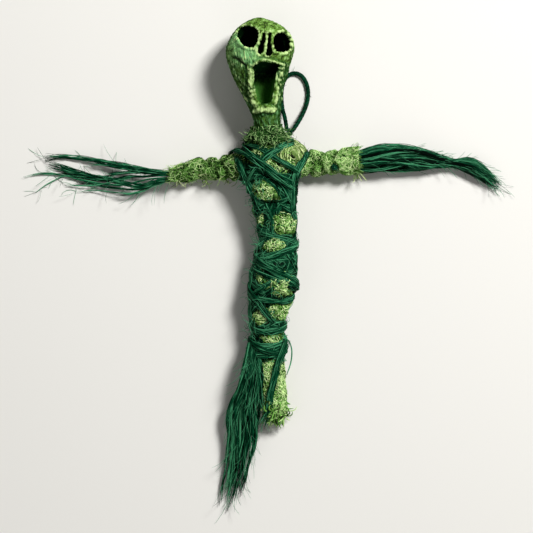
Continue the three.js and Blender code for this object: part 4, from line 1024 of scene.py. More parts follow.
class Skull:
    """Outside of the head in its own frame: right, up from the foot of the neck, and forward."""

    def __init__(self):
        s = sizes()
        h, w, b, f, n = s.head_height, s.skull_width, s.skull_back, s.skull_front, s.neck_width
        self.half = through([(0, n / 2), (0.08 * h, n / 2), (0.3 * h, s.jaw_width / 2),
                             (0.5 * h, 0.413 * w), (0.7 * h, w / 2), (0.83 * h, 0.425 * w),
                             (0.94 * h, 0.26 * w), (h, 0.05 * w)])
        self.aside = through([(0, 0), (0.08 * h, 0), (0.3 * h, -s.jaw_aside), (0.5 * h, -s.jaw_aside),
                              (0.7 * h, 0), (h, 0)])
        self.back = through([(0, n / 2), (0.18 * h, 0.53 * n), (0.31 * h, 0.52 * b), (0.55 * h, 0.83 * b),
                             (0.72 * h, b), (0.84 * h, 0.92 * b), (0.94 * h, 0.58 * b), (h, 0.05 * b)])
        self.front = through([(0, n / 2), (0.18 * h, 0.55 * f), (0.31 * h, 0.68 * f), (0.55 * h, 0.89 * f),
                              (0.72 * h, f), (0.84 * h, 0.93 * f), (0.94 * h, 0.6 * f), (h, 0.05 * f)])

    def rings(self, levels, inset, sides=128):
        """Rings of the skin at heights above the foot, set in from it, from the top down."""
        angle = ring_angles(sides)
        half, back, front = (curve(levels)[:, None] - inset for curve in (self.half, self.back, self.front))
        x = self.aside(levels)[:, None] + half * np.cos(angle)
        z = (front - back) / 2 + (front + back) / 2 * np.sin(angle)
        y = np.broadcast_to(levels[:, None], x.shape)
        return np.stack([x, y, z], axis=-1)[::-1]

    def depth(self, points):
        """1 on the skin, less inside."""
        x, y, z = points.T
        half, back, front = self.half(y), self.back(y), self.front(y)
        return np.hypot((x - self.aside(y)) / half, (z - (front - back) / 2) / ((front + back) / 2))


def plain_object(name, heap):
    """A hidden object to carve with."""
    made = heap.piece(name, None)
    made.hide_render = True
    return made


class DOLL_OT_head(bpy.types.Operator):
    """Hollow carved head with rimmed eyes, nose slots and a tall open mouth"""
    bl_idname = "doll.head"
    bl_label = "Head"

    def execute(self, context):
        skull = Skull()
        mesh = self.carve(context, skull)
        points = np.zeros((len(mesh.vertices), 3))
        normals = np.zeros((len(mesh.vertices), 3))
        mesh.vertices.foreach_get("co", points.ravel())
        mesh.vertex_normals.foreach_get("vector", normals.ravel())
        points, paint = self.finish(skull, points, normals)
        joint = hinge("head_turn")
        up = unit(joint["axis"])
        ahead = unit(UP - up * (UP @ up))
        right = np.cross(up, ahead)
        front = ahead * math.cos(HEAD_TURN) + right * math.sin(HEAD_TURN)
        axes = np.stack([np.cross(up, front), up, front])
        mesh.vertices.foreach_set("co", (np.array(joint["pos_m"]) + points @ axes).ravel())
        for name, values in paint.items():
            layer = mesh.attributes.new(name, "FLOAT", "POINT")
            layer.data.foreach_set("value", values.astype(np.float32))
        mesh.shade_smooth()
        mesh.update()
        mesh.materials.clear()
        mesh.materials.append(head_finish())
        mesh.materials.append(hollow_finish())
        corners = np.zeros(len(mesh.loops), np.int32)
        firsts = np.zeros(len(mesh.polygons), np.int32)
        mesh.loops.foreach_get("vertex_index", corners)
        mesh.polygons.foreach_get("loop_start", firsts)
        inside = paint["inside"][corners[firsts]] > 0.6
        mesh.polygons.foreach_set("material_index", inside.astype(np.int32))
        head = bpy.data.objects.new("carved_head", mesh)
        context.scene.collection.objects.link(head)
        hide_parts("head")
        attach(head, "head")
        return {"FINISHED"}

    def carve(self, context, skull):
        """The skull with its hollow and openings cut out, in fine even facets."""
        s = sizes()
        rise = np.linspace(0, 1, 110)
        solid = Heap()
        solid.skin(skull.rings(s.head_height * (1 - (1 - rise) ** 1.5), 0.0), 0.0)
        head = plain_object("head_block", solid)
        hollow = Heap()
        hollow.skin(skull.rings(np.linspace(HOLLOW_FOOT, HOLLOW_TOP, 60), s.head_wall), 0.0)
        cutters = [plain_object("head_hollow", hollow)]
        for outline, room, *_ in OPENINGS:
            middle = np.mean(outline, axis=0)
            wider = middle + (np.array(outline) - middle) * (1 + room / np.ptp(outline, axis=0))
            line = smooth([(x * MM, y * MM, 0) for x, y in [*wider, wider[0]]], 0.5 * MM)[:-1]
            prism = Heap()
            prism.skin(np.stack([line[::-1] + UP * depth for depth in (2 * MM, 30 * MM)]), 0.0)
            cutters.append(plain_object("head_opening", prism))
        for cutter in cutters:
            cut = head.modifiers.new("cut", "BOOLEAN")
            cut.operation = "DIFFERENCE"
            cut.solver = "EXACT"
            cut.object = cutter
        even = head.modifiers.new("even", "REMESH")
        even.mode = "VOXEL"
        even.voxel_size = s.carving_grain
        soft = head.modifiers.new("soft", "SMOOTH")
        soft.factor = 0.5
        soft.iterations = 5
        context.view_layer.update()
        mesh = bpy.data.meshes.new_from_object(head.evaluated_get(context.evaluated_depsgraph_get()))
        for spent in [head] + cutters:
            bpy.data.objects.remove(spent)
        if len(mesh.vertices) < 10000:
            raise RuntimeError("the head was not carved")
        return mesh

    def beads(self, flat, knobs, worn):
        """Height and paleness of the beads of the face, and painted shade in lines beside its lips."""
        lift, rim, groove = np.zeros((3, len(flat)))
        for outline, _, height, pale, wear in OPENINGS:
            away = outline_distance(flat, outline)
            lift = np.maximum(lift, height * knobs * bead(away - RIM_BEAD, RIM_BEAD))
            rim = np.maximum(rim, fade(away - RIM_MIDDLE, RIM_HALF) * (pale + wear * worn))
        for line, half, height, pale in LIPS:
            away = line_distance(flat, line)
            lift = np.maximum(lift, height * knobs * bead(away, half))
            rim = np.maximum(rim, fade(away, 0.75 * half) * (pale + (0.95 - pale) * worn))
            # Painted shade: a dark line just outside each lip.
            groove = np.maximum(groove, fade(away - half - 0.6, 0.7))
        for line, half, height in BROWS:
            lift = np.maximum(lift, height * fade(line_distance(flat, line), half))
        away = line_distance(flat, SEPTUM)
        lift = np.maximum(lift, 0.5 * bead(away, 0.8))
        rim = np.maximum(rim, 0.75 * fade(away, 0.5) * (0.4 + 0.6 * worn))
        return lift, rim, groove

    def stains(self, x, y):
        """Dark stains of the left cheek, the jaw, the right cheek, the right edge and the neck."""
        left = step_up(x, -6, -15) * step_up(y, 50, 38)
        jaw = step_up(y, 34, 20) * step_up(np.abs(x + 1.5), 7, 10)
        right = step_up(x, 9, 19) * step_up(y, 46, 38)
        right_edge = step_up(x, 12.5, 19)
        neck = step_up(y, 13, 8)
        return 0.75 * left, jaw, 0.7 * right, 0.85 * right_edge, neck

    def finish(self, skull, points, normals):
        """Raises beads and grooves on the skin, and paints its parts."""
        depth = skull.depth(points)
        flat = points[:, :2] / MM
        x, y, z = (points / MM).T
        crown = step_up(points[:, 1], HOLLOW_TOP + 0.8 * MM, HOLLOW_TOP + 2.4 * MM)
        depth = np.maximum(depth, crown)
        skin = step_up(depth, 0.9, 0.97)
        front = step_up(z, -2, 4)
        grain = wobble(points, 2.2 * MM, 81)
        patch = wobble(points, 5 * MM, 85)
        worn = np.clip(0.5 + 0.55 * patch + 0.45 * grain, 0, 1)
        knobs = 0.85 + 0.18 * wobble(points, 3.2 * MM, 82) + 0.12 * grain
        lift, rim, groove = self.beads(flat, knobs, worn)
        slit = fade(line_distance(flat, CHEEK_SLIT), 0.9)
        right_jaw = step_up(x, 4.5, 8) * step_up(y, 40, 32)
        side = np.maximum.reduce([*self.stains(x, y), 2.2 * right_jaw, 1 - front])
        fibres = wobble(points * np.array((1, 0.09, 1)), 1.0 * MM, 83)
        fibres = 0.6 * fibres + 0.4 * wobble(points * np.array((1, 0.12, 1)), 2.0 * MM, 84)
        brow = step_up(y, 54, 60)[:, None]
        lay = brow * np.array((0.2, 1.0, 1.0)) + (1 - brow) * np.array((1.0, 0.16, 1.0))
        crack = np.clip(1 - np.abs(wobble(points * lay, 2.2 * MM, 86)) / 0.2, 0, 1) * (1 - 0.6 * rim)
        lift = (lift * front + (0.16 + 0.42 * side) * fibres * front - 1.5 * slit * front
                + 0.2 * grain - 0.34 * crack)
        points = points + normals * (lift * skin * MM)[:, None]
        inside = step_up(depth, 0.965, 0.9)
        edge = step_up(depth, 0.93, 0.98)
        low = step_up(y, 35, 22)
        cheek, temple = oval_spot(x, y, *CHEEK_SPOT), oval_spot(x, y, *TEMPLE_SPOT)
        shine = 0.8 * side * step_up(y, 12, 18) * (1 - 0.8 * right_jaw) + 1.7 * cheek + 0.8 * temple
        pale = shine * np.clip(1.7 * fibres + 0.6 * grain - 0.1, 0, 1)
        paint = {
            "rim": np.clip(rim + pale, 0, 1) * front * edge,
            # Side paint: stains and the darker back of the head, with painted shade in lines beside the
            # lips.
            "side": np.clip(side * (0.85 + 0.5 * fibres) + 0.8 * groove * front, 0, 1),
            "cheek": np.clip((1.2 * cheek + temple) * front * (0.7 + 0.5 * fibres)
                             + 0.35 * (1 - right_jaw) * np.clip(side, 0, 1) * np.clip(fibres, 0, 1), 0, 1),
            "crack": crack * skin,
            "inside": inside,
            "throat": inside * low,
            # Painted shade: the inside of the head and the slit in the left cheek go near black.
            "hollow": np.maximum(inside, slit * front * 0.9),
        }
        return points, paint


# Moss
def moss_heap(roll, low, high, seed, heading=0.5 * math.pi, curl=800.0, tone=0.42, lie=1.0, shown=None,
              under=1.0):
    """One roll of moss between two shares of its length; the smaller lie, the flatter its fibres."""
    s = sizes()
    heap = Heap()
    # The skin under the fibres is kept dark, as painted shade.
    moss_skin(heap, roll, low, high, seed, 0.5 * tone - 0.06)
    area = TURN * float(roll.reach.mean()) * (high - low) * roll.length / MM ** 2
    lay = {"heading": heading, "spread": 0.9, "shown": shown, "under": under}
    moss_fibres(heap, roll, low, high, int(area * s.moss_density), seed + 10, reach=s.moss_length / lie,
                width=s.moss_fibre * math.sqrt(lie), loft=s.moss_loft * lie, curl=curl * lie, tone=tone,
                steps=7, **lay)
    moss_fibres(heap, roll, low, high, int(0.08 * area), seed + 20, reach=2.4 * s.moss_length,
                width=0.5 * s.moss_fibre, loft=1.2 * s.moss_loft, curl=0.5 * curl, tone=tone + 0.2,
                steps=9, **lay)
    return heap


# Arms. Creases: the place out along the arm and how far it leans, the side to which it leans, and its
# depth; side 0 is the upper side of the arm and a quarter turn its front. Bow: how far the arm bows upward
# between the chest and the wrist. Roots: from and to as shares of the length, how many dry rootlets hang
# there, and their length. Ends: how many frayed ends reach past the wrist, and their length. All lengths
# are in millimetres.
ARMS = {
    "left_arm_moss": {
        "joint": "left_hand_sway", "seed": 400, "tone": 0.36, "bow": 2.0,
        "creases": [(14.5, 2.8, 0, 2.2), (21.5, 4, 0, 1.3), (39, -1.5, 0, 0.2)],
        "roots": (0.15, 0.95, 34, 8), "ends": (90, 4.5),
    },
    "right_arm_moss": {
        "joint": "right_hand_sway", "seed": 500, "tone": 0.52, "bow": 0.0,
        "creases": [(9, 3, TURN / 4, 2.2), (20, -4, TURN / 4, 2.2), (27, -3.5, TURN / 4, 2.2)],
        "roots": (0.9, 1.0, 16, 7), "ends": (150, 4.2),
    },
}
CREASE_HALF = 1.4 * MM
# Straw that curls round a gap at the right shoulder: the gap's middle X and Y, how far the straw reaches,
# how high it stands over the gap and how much lower it lies at its edge, and how far it keeps above the
# chest, in millimetres
STRAW_MIDDLE = np.array((15.0, 66.0))
STRAW_REACH = 9.6
STRAW_HEIGHT = 24.5
STRAW_FALL = 13.0
STRAW_CLEAR = 2.4
STRAW_STALKS, STRAW_STEPS = 190, 12
# How far the collar flares at its foot, and the share of its length over which it does
COLLAR_FLARE, COLLAR_FLARE_SHARE = 2.6 * MM, 0.7
# How many places the tufts of the foot and the hairs of the collar grow from
TUFT_PLACES, COLLAR_PLACES = 300, 240


class DOLL_OT_moss(bpy.types.Operator):
    """Rolls of curled moss: chest, body, leg and both arms, with dry straw"""
    bl_idname = "doll.moss"
    bl_label = "Moss"

    def execute(self, context):
        torso = torso_roll()
        torso.swell(size=9 * MM, height=0.7 * MM, seed=90)
        torso.bulge(height=2.0 * MM)
        waist = float(torso.share_at(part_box("leg_moss")[1].y))
        ribs = float(torso.share_at(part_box("chest_moss")[0].y))
        leg = moss_heap(torso, 0.0, waist, 100, heading=0.12 * math.pi, tone=0.46, lie=0.8)
        self.tufts(leg, torso)
        leg.piece("leg_moss_roll", fibre_finish("moss"), "figure", "moss", ("leg_moss",))
        for node, low, high, seed, under in (
            ("body_moss", waist, ribs, 200, 0.04),
            ("chest_moss", ribs, 1.0, 300, 1.0),
        ):
            heap = moss_heap(torso, low, high, seed, tone=0.46, shown=torso.shown, under=under)
            heap.piece(node + "_roll", fibre_finish("moss"), "figure", "moss", (node,))
        dry = Heap()
        self.straw(dry)
        for node, arm in ARMS.items():
            seed = arm["seed"]
            roll = arm_roll(node, arm["joint"])
            roll.swell(size=10 * MM, height=1.1 * MM, seed=seed + 40)
            for at, slant, side, deep in arm["creases"]:
                roll.crease(at * MM, slant * MM, side, deep * MM, CREASE_HALF)
            roll.middles[:, 1] += arm["bow"] * MM * step_up(roll.shares, 1.0, 0.6)
            heap = moss_heap(roll, 0.0, 1.0, seed, tone=arm["tone"], lie=0.42)
            self.frayed_end(heap, roll, seed, *arm["ends"])
            self.roots(dry, roll, seed, *arm["roots"])
            heap.piece(node + "_roll", fibre_finish("moss"), "figure", "moss", (node,))
        dry.piece("dry_straw", fibre_finish("straw"), "figure", "moss")
        return {"FINISHED"}

    def roots(self, heap, roll, seed, low, high, count, span):
        """Dry rootlets that hang out of the lower side of an arm."""
        draw = np.random.default_rng(seed + 60)
        angle = draw.normal(math.pi, 0.4, count)
        share, along = draw.uniform(low, high, count), draw.uniform(-0.4, 1.2, (count, 1))
        starts, ways = roll.leaving(share, angle, lift=0.0, out=0.7, along=along)
        stray(heap, starts, ways, count, seed + 61, reach=span * MM, width=0.42 * MM, curl=380, tone=0.6,
              steps=9, scatter=0.35)

    def straw(self, heap):
        """Dry stalks that curl over the upper right of the chest to the root of the arm."""
        chest = search_tree(("chest_moss",))
        draw = np.random.default_rng(350)
        count, steps = STRAW_STALKS, STRAW_STEPS
        away = STRAW_REACH * draw.uniform(0.04, 1.0, count) ** 0.6
        first = draw.uniform(math.radians(50), math.radians(235), count)
        arc = np.minimum(draw.uniform(6, 15, count) / away, math.radians(150))
        angle = first[:, None] - arc[:, None] * np.linspace(0, 1, steps)
        bend = 0.9 * np.sin(draw.uniform(0, TURN, (count, 1)) + draw.uniform(2, 5, (count, 1)) * angle)
        round_gap = (away[:, None] + bend)[..., None] * np.stack([np.cos(angle), np.sin(angle)], axis=-1)
        far = np.linalg.norm(round_gap, axis=-1) / STRAW_REACH
        round_gap[..., 0] *= np.where(round_gap[..., 0] < 0, 0.7, 1.0)
        flat = (STRAW_MIDDLE + round_gap) * MM
        high = (STRAW_HEIGHT - STRAW_FALL * far ** 1.6) * MM
        for place in np.ndindex(high.shape):
            hit = chest.ray_cast(Vector((*flat[place], 0.1)), Vector((0, 0, -1)))
            if hit[0]:
                high[place] = max(high[place], hit[0].z + STRAW_CLEAR * MM)
        high = high + draw.normal(0, 0.5, (count, 1)) * MM
        # Painted shade: stalks near the middle of the gap are nearly black.
        tone = np.where(away < 1.9, -0.1, 0.58) + 0.34 * draw.normal(size=count)
        width = 0.62 * MM * draw.uniform(0.7, 1.3, count)
        heap.fibres(np.concatenate([flat, high[..., None]], axis=-1), width, tone)

    def tufts(self, heap, roll):
        """Curly ends that hang out of the foot of the leg."""
        draw = np.random.default_rng(140)
        angle = draw.uniform(0, TURN, TUFT_PLACES)
        share, lift = draw.uniform(0.0, 0.06, TUFT_PLACES), -draw.uniform(0.0, 5.0, TUFT_PLACES) * MM
        to_left = np.array((-0.2, 0.0, 0.0))
        starts, ways = roll.leaving(share, angle, lift, out=0.1, along=-1, lean=to_left)
        stray(heap, starts, ways, count=420, seed=141, reach=9 * MM, width=1.0 * MM, curl=420, tone=0.5,
              steps=11, scatter=0.3)

    def frayed_end(self, heap, roll, seed, count, span):
        """Dry moss ends that reach past the wrist."""
        draw = np.random.default_rng(seed + 30)
        angle = draw.uniform(0, TURN, count)
        share, lift = draw.uniform(0.88, 1.0, count), -draw.uniform(-0.5, 1.0, count) * MM
        starts, ways = roll.leaving(share, angle, lift, out=0.1, along=1)
        stray(heap, starts, ways, count, seed + 31, reach=span * MM, width=0.36 * MM, curl=240, tone=0.55,
              steps=8)


class DOLL_OT_collar(bpy.types.Operator):
    """Fine curled moss round the neck"""
    bl_idname = "doll.collar"
    bl_label = "Neck moss"

    def execute(self, context):
        s = sizes()
        roll = neck_roll()
        roll.reach += COLLAR_FLARE * np.clip(1 - roll.shares / COLLAR_FLARE_SHARE, 0, 1)[:, None]
        roll.swell(size=6 * MM, height=0.8 * MM, seed=640)
        roll.dent(middle_of("loop_knot"), depth=4.4 * MM, size=6 * MM)
        heap = Heap()
        moss_skin(heap, roll, 0.0, 1.0, 600)
        moss_fibres(heap, roll, 0.0, 1.0, count=900, seed=610, reach=8 * MM, width=s.collar_fibre,
                    loft=2.2 * MM, heading=0.5 * math.pi, spread=1.0, curl=380, tone=0.38)
        draw = np.random.default_rng(620)
        angle = draw.uniform(0, TURN, COLLAR_PLACES)
        around = np.cross(roll.along, roll.ways(angle))
        share = draw.uniform(0.0, 0.8, COLLAR_PLACES)
        starts, ways = roll.leaving(share, angle, lift=0.3 * MM, out=1, along=-0.6, lean=around)
        stray(heap, starts, ways, count=320, seed=621, reach=8 * MM, width=0.26 * MM, curl=420, tone=0.72,
              steps=9)
        share = draw.uniform(0.0, 0.25, COLLAR_PLACES)
        starts, ways = roll.leaving(share, angle, lift=0.2 * MM, out=0.5, along=-1)
        stray(heap, starts, ways, count=260, seed=631, reach=6 * MM, width=0.34 * MM, curl=300, tone=0.5,
              steps=9)
        heap.piece("neck_moss_collar", fibre_finish("collar"), "figure", "collar_moss", ("neck_moss",))
        return {"FINISHED"}


# Twine: each route is (millimetres along Y, degrees round the torso, further lift), then lift, width and
# tone; lifts and widths are in millimetres
LEFT_CHEST = [
    ([(73, 195, -1), (71, 168, -0.6), (65, 128), (58.5, 95), (53, 65), (48.5, 36, -0.7), (45, 5, -1.8),
      (47, -40, -2), (56, -90, -1.6), (66, -140, -1.5), (73, -168, -1.5)], 3.5, 5.4, 0.46),
    ([(60, 112), (56, 92), (51, 62), (45.5, 34), (40, 8), (37, -20)], 2.0, 3.8, 0.44),
    ([(60, 100), (54, 78), (47, 56), (41, 42), (34, 34), (28, 28)], 1.6, 3.2, 0.36),
    ([(74, 182), (72.5, 150), (70.5, 108, 0.3), (67, 84, 1), (62, 55, 2.5), (57, 22, 2.2), (54, -12, 0.6),
      (57, -70), (66, -130), (73, -175)], 1.4, 3.4, 0.42),
]
RIGHT_CHEST = [
    ([(75, -20), (74, 28, 0.5), (71, 66, 1.2), (67, 96, 0.7), (60, 130, -0.2), (52, 160), (46, 185),
      (48, 225), (57, 270), (67, 315), (74, 345)], 2.2, 4.6, 0.44),
    ([(56, 210), (50, 180), (44, 158), (40, 130), (38, 100), (39, 70), (42, 40), (48, 5), (52, -40)],
     0.9, 3.8, 0.36),
]
TORSO = [
    ([(46, 190), (42, 160), (38, 128), (33, 112), (26, 108), (20, 112), (15, 140), (12, 175), (12, 215)],
     1.0, 3.4, 0.5),
    ([(52, 24), (44, 12), (36, 4), (28, 0), (20, 8), (16, 35), (15, 62)], 1.0, 3.4, 0.46),
    ([(36, 60), (32, 25), (29, -15), (28, -60), (27, -120), (26, -170)], 0.9, 3.6, 0.4),
    ([(25, 205), (22, 168), (20, 130), (18, 92), (16, 55), (13.5, 15), (11.5, -30), (13, -90), (19, -130),
      (24, -158)], 1.3, 4.2, 0.48),
    ([(15, -12), (12.5, 20), (10, 60), (7, 100), (4, 150), (2, 185), (2, 230), (8, 290), (14, 340)],
     2.0, 4.6, 0.5),
    ([(9, 205), (5.5, 168), (1, 120), (-3.5, 80), (-8, 40), (-11, 8), (-13, -30), (-11, -90), (-2, -130),
      (7, -160)], 2.6, 5.4, 0.55),
    ([(4, 210), (0.5, 172), (-3.5, 125), (-7, 90), (-10.5, 50), (-13.5, 10), (-16, -40)], 1.8, 3.4, 0.38),
    ([(6, 150), (0, 166), (-8, 174), (-16, 176), (-24, 173), (-31, 166), (-36, 150)], 1.6, 3.0, 0.42),
    ([(8, 160), (1, 172), (-8, 184), (-17, 186), (-26, 182), (-35, 172)], 1.8, 2.6, 0.5),
    ([(3, 148), (-4, 160), (-12, 166), (-20, 168), (-28, 160), (-34, 146)], 1.4, 2.6, 0.36),
    ([(-2, 30), (-5, 65), (-9, 100), (-14, 135), (-19, 165), (-21, 210)], 1.3, 3.0, 0.45),
    ([(-6, 20), (-10, 62), (-14, 98), (-20, 132), (-25, 165), (-26, 210)], 0.9, 3.0, 0.36),
    ([(-13, 215), (-16, 180), (-18.5, 140), (-20, 100), (-20.5, 65), (-19.5, 25), (-17, -15), (-14, -80),
      (-12, -140)], 1.8, 4.2, 0.5),
    ([(-10, 176), (-17, 144), (-23, 117), (-29, 92), (-33.5, 74)], 2.6, 4.2, 0.42),
    ([(-34, 215), (-36, 165), (-38, 120), (-38.5, 85), (-37.5, 45), (-35.5, 0), (-34, -60), (-33, -140)],
     1.4, 4.6, 0.5),
    ([(-34, 200), (-36, 160), (-38.5, 118), (-38.5, 70), (-36.5, 20), (-34, -40), (-33, -120)],
     1.0, 3.0, 0.36),
]
WAIST = [
    ([(-44, 250), (-45, 195), (-46, 165, 1), (-47, 130, 1.4), (-48, 95, 0.6), (-46.5, 50), (-44, 0),
      (-43, -60), (-43.5, -110)], 1.4, 4.8, 0.5),
    ([(-49, 250), (-50, 205), (-51, 170, 1.2), (-52, 135, 1.6), (-52.5, 95, 0.8), (-51, 50), (-48, 5),
      (-47, -60), (-48, -110)], 1.6, 5.0, 0.46),
    ([(-42, 210), (-44, 165, 1), (-47.5, 125, 2), (-50.5, 90, 1.4), (-51.5, 50, 0.4), (-51, 10),
      (-49, -60)], 1.6, 3.4, 0.42),
]
# Places where the moss shows between the strands: middle X and Y, half width and half height, in
# millimetres; the back has the same windows mirrored in X and moved aside and down
MOSS_WINDOWS = [
    (13, 66.5, 9.5, 8), (-1.6, 45.2, 7.6, 6.2), (10.2, 25.5, 8, 6), (5.4, 12.6, 7, 4.8),
    (9.6, -11, 8.4, 6.6), (7.5, -26.8, 7, 5.6), (-3.4, -30.6, 5.2, 4.2), (3.3, -43.5, 6.8, 2.6),
    (0.2, 63.6, 3.4, 5), (-6, 68, 3, 2.6), (8, 59, 5, 4), (-3.3, -5.5, 2.4, 4.5), (-3.4, 28.5, 1.7, 3.6),
]
BACK_MIRROR, BACK_SHIFT = np.array((-1.0, 1.0)), np.array((8 * MM, -9 * MM))
# Strands between the chest and the roots of the arms: points in millimetres, then width and tone
SHOULDER_STRANDS = {
    "left_shoulder_band": [
        ([(-21, 58, 2.5), (-21.4, 67.4, 7), (-19.8, 69.8, 12.5), (-15.6, 69.0, 19.5), (-10, 66.6, 25.4),
          (-5, 63.4, 27.6)], 5.0, 0.46),
        ([(-18, 54, 5), (-15.5, 53, 12), (-11.8, 50.5, 17), (-9, 46.5, 20), (-6.2, 41, 21.5),
          (-3.5, 35, 22)], 4.0, 0.38),
        ([(-18.5, 55, 3), (-15.5, 52.5, 9), (-11.5, 49, 14), (-8.8, 44.5, 17), (-6.8, 38.5, 18),
          (-5.5, 31, 17)], 4.0, 0.34),
        ([(-17, 64, 19.5), (-15, 58, 21.5), (-13, 53, 20.5), (-10.5, 48.5, 20), (-8, 43, 21)], 3.4, 0.4),
    ],
    "right_shoulder_band": [
        ([(20.5, 68, 3.5), (23, 69.6, 8.5), (23.8, 67.6, 14.4), (21.8, 63.2, 18.8), (19, 58, 22),
          (17.2, 52, 23), (16.6, 45, 21), (16.4, 37, 20)], 4.2, 0.42),
        ([(18.6, 68.5, 7.5), (20.6, 68.4, 13), (20.8, 65, 17.6), (19, 60, 21.8), (17, 54, 23.6),
          (15.5, 48, 24), (15.6, 41, 22.5), (16, 33, 21)], 3.0, 0.34),
    ],
}
# Loose strands of a winding, hairs that lie on it and hairs that stand off: from and to along Y in
# millimetres, then how many of each
LOOSE = {
    "left_chest_band": (39, 60, 110, 150, 60),
    "torso_binding": (-41, 38.5, 330, 330, 200),
    "waist_binding": (-56, -42, 44, 90, 60),
}
# Strands wider than this have more fibres
USUAL_WIDTH = 4.5
# Length of one step of a loose strand, and the radius that its turns are reckoned by
LOOSE_STEP, LOOSE_RADIUS = 2 * MM, 11 * MM


def windings(heap, roll, routes, seed):
    """Strands wound on a roll by their routes."""
    s = sizes()
    for k, (route, lift, width, tone) in enumerate(routes):
        path, out = on_roll(roll, route, lift * MM)
        fibres = int(s.strand_fibres * max(1.0, width / USUAL_WIDTH))
        strand(heap, path, out, width * MM, s.twine_thickness, fibres, seed + k, tone, wander=0.22)


def loose_turns(heap, roll, low, high, count, seed, lift):
    """Short thin strands pulled out of the windings, which keep clear of the moss windows."""
    draw = np.random.default_rng(seed)
    for k in range(count):
        share, angle = draw.uniform(low, high), draw.uniform(0, TURN)
        way = draw.choice((-1, 1)) * draw.normal(0.95, 0.35)
        steps = int(draw.uniform(10, 22))
        bend = draw.normal(0, 0.05)
        shares, angles = np.zeros((2, steps))
        for j in range(steps):
            shares[j], angles[j] = share, angle
            share += math.cos(way) * LOOSE_STEP / roll.length
            angle += math.sin(way) * LOOSE_STEP / LOOSE_RADIUS
            way += bend
        t = np.linspace(0, 1, steps)
        rise = lift * draw.uniform(0.6, 1.2) * np.sin(math.pi * t) ** 0.4
        path = roll.points(np.clip(shares, low, high), angles, rise)
        if (roll.shown(path) > 0.4).mean() < 0.12:
            width, tone = draw.uniform(2.0, 4.0) * MM, draw.normal(0.32, 0.14)
            strand(heap, path, roll.ways(angles), width, thick=1.1 * MM, fibres=10, seed=seed + 100 + k,
                   tone=tone, wander=0.35, ragged=0.15)


def cover(heap, roll, low, high, seed):
    """Matted twine under the strands, with slanted grooves round the roll and sunk windows; it is dark as
    painted shade, darkest down in its grooves.
    """
    share, angle, flat, inward = roll.net(low, high, step=0.9 * MM, sides=110, end=1.5 * MM)
    slant = share * roll.length / (2.3 * MM) + 1.2 * np.sin(angle) + 0.9 * wobble(flat, 9 * MM, seed)
    groove = np.abs(np.sin(math.pi * slant))
    lift = (0.25 + 0.6 * groove + 0.3 * wobble(flat, 3 * MM, seed + 1)) * MM
    lift = lift - (3.4 * roll.shown(flat) + 1.2 * (1 - inward)) * MM
    rings = above_table(roll.points(share, angle, lift))
    # Painted shade: a dark tone, darker in the grooves than on the ridges.
    heap.skin(rings, 0.04 + 0.26 * groove + 0.12 * wobble(flat, 4 * MM, seed + 2))


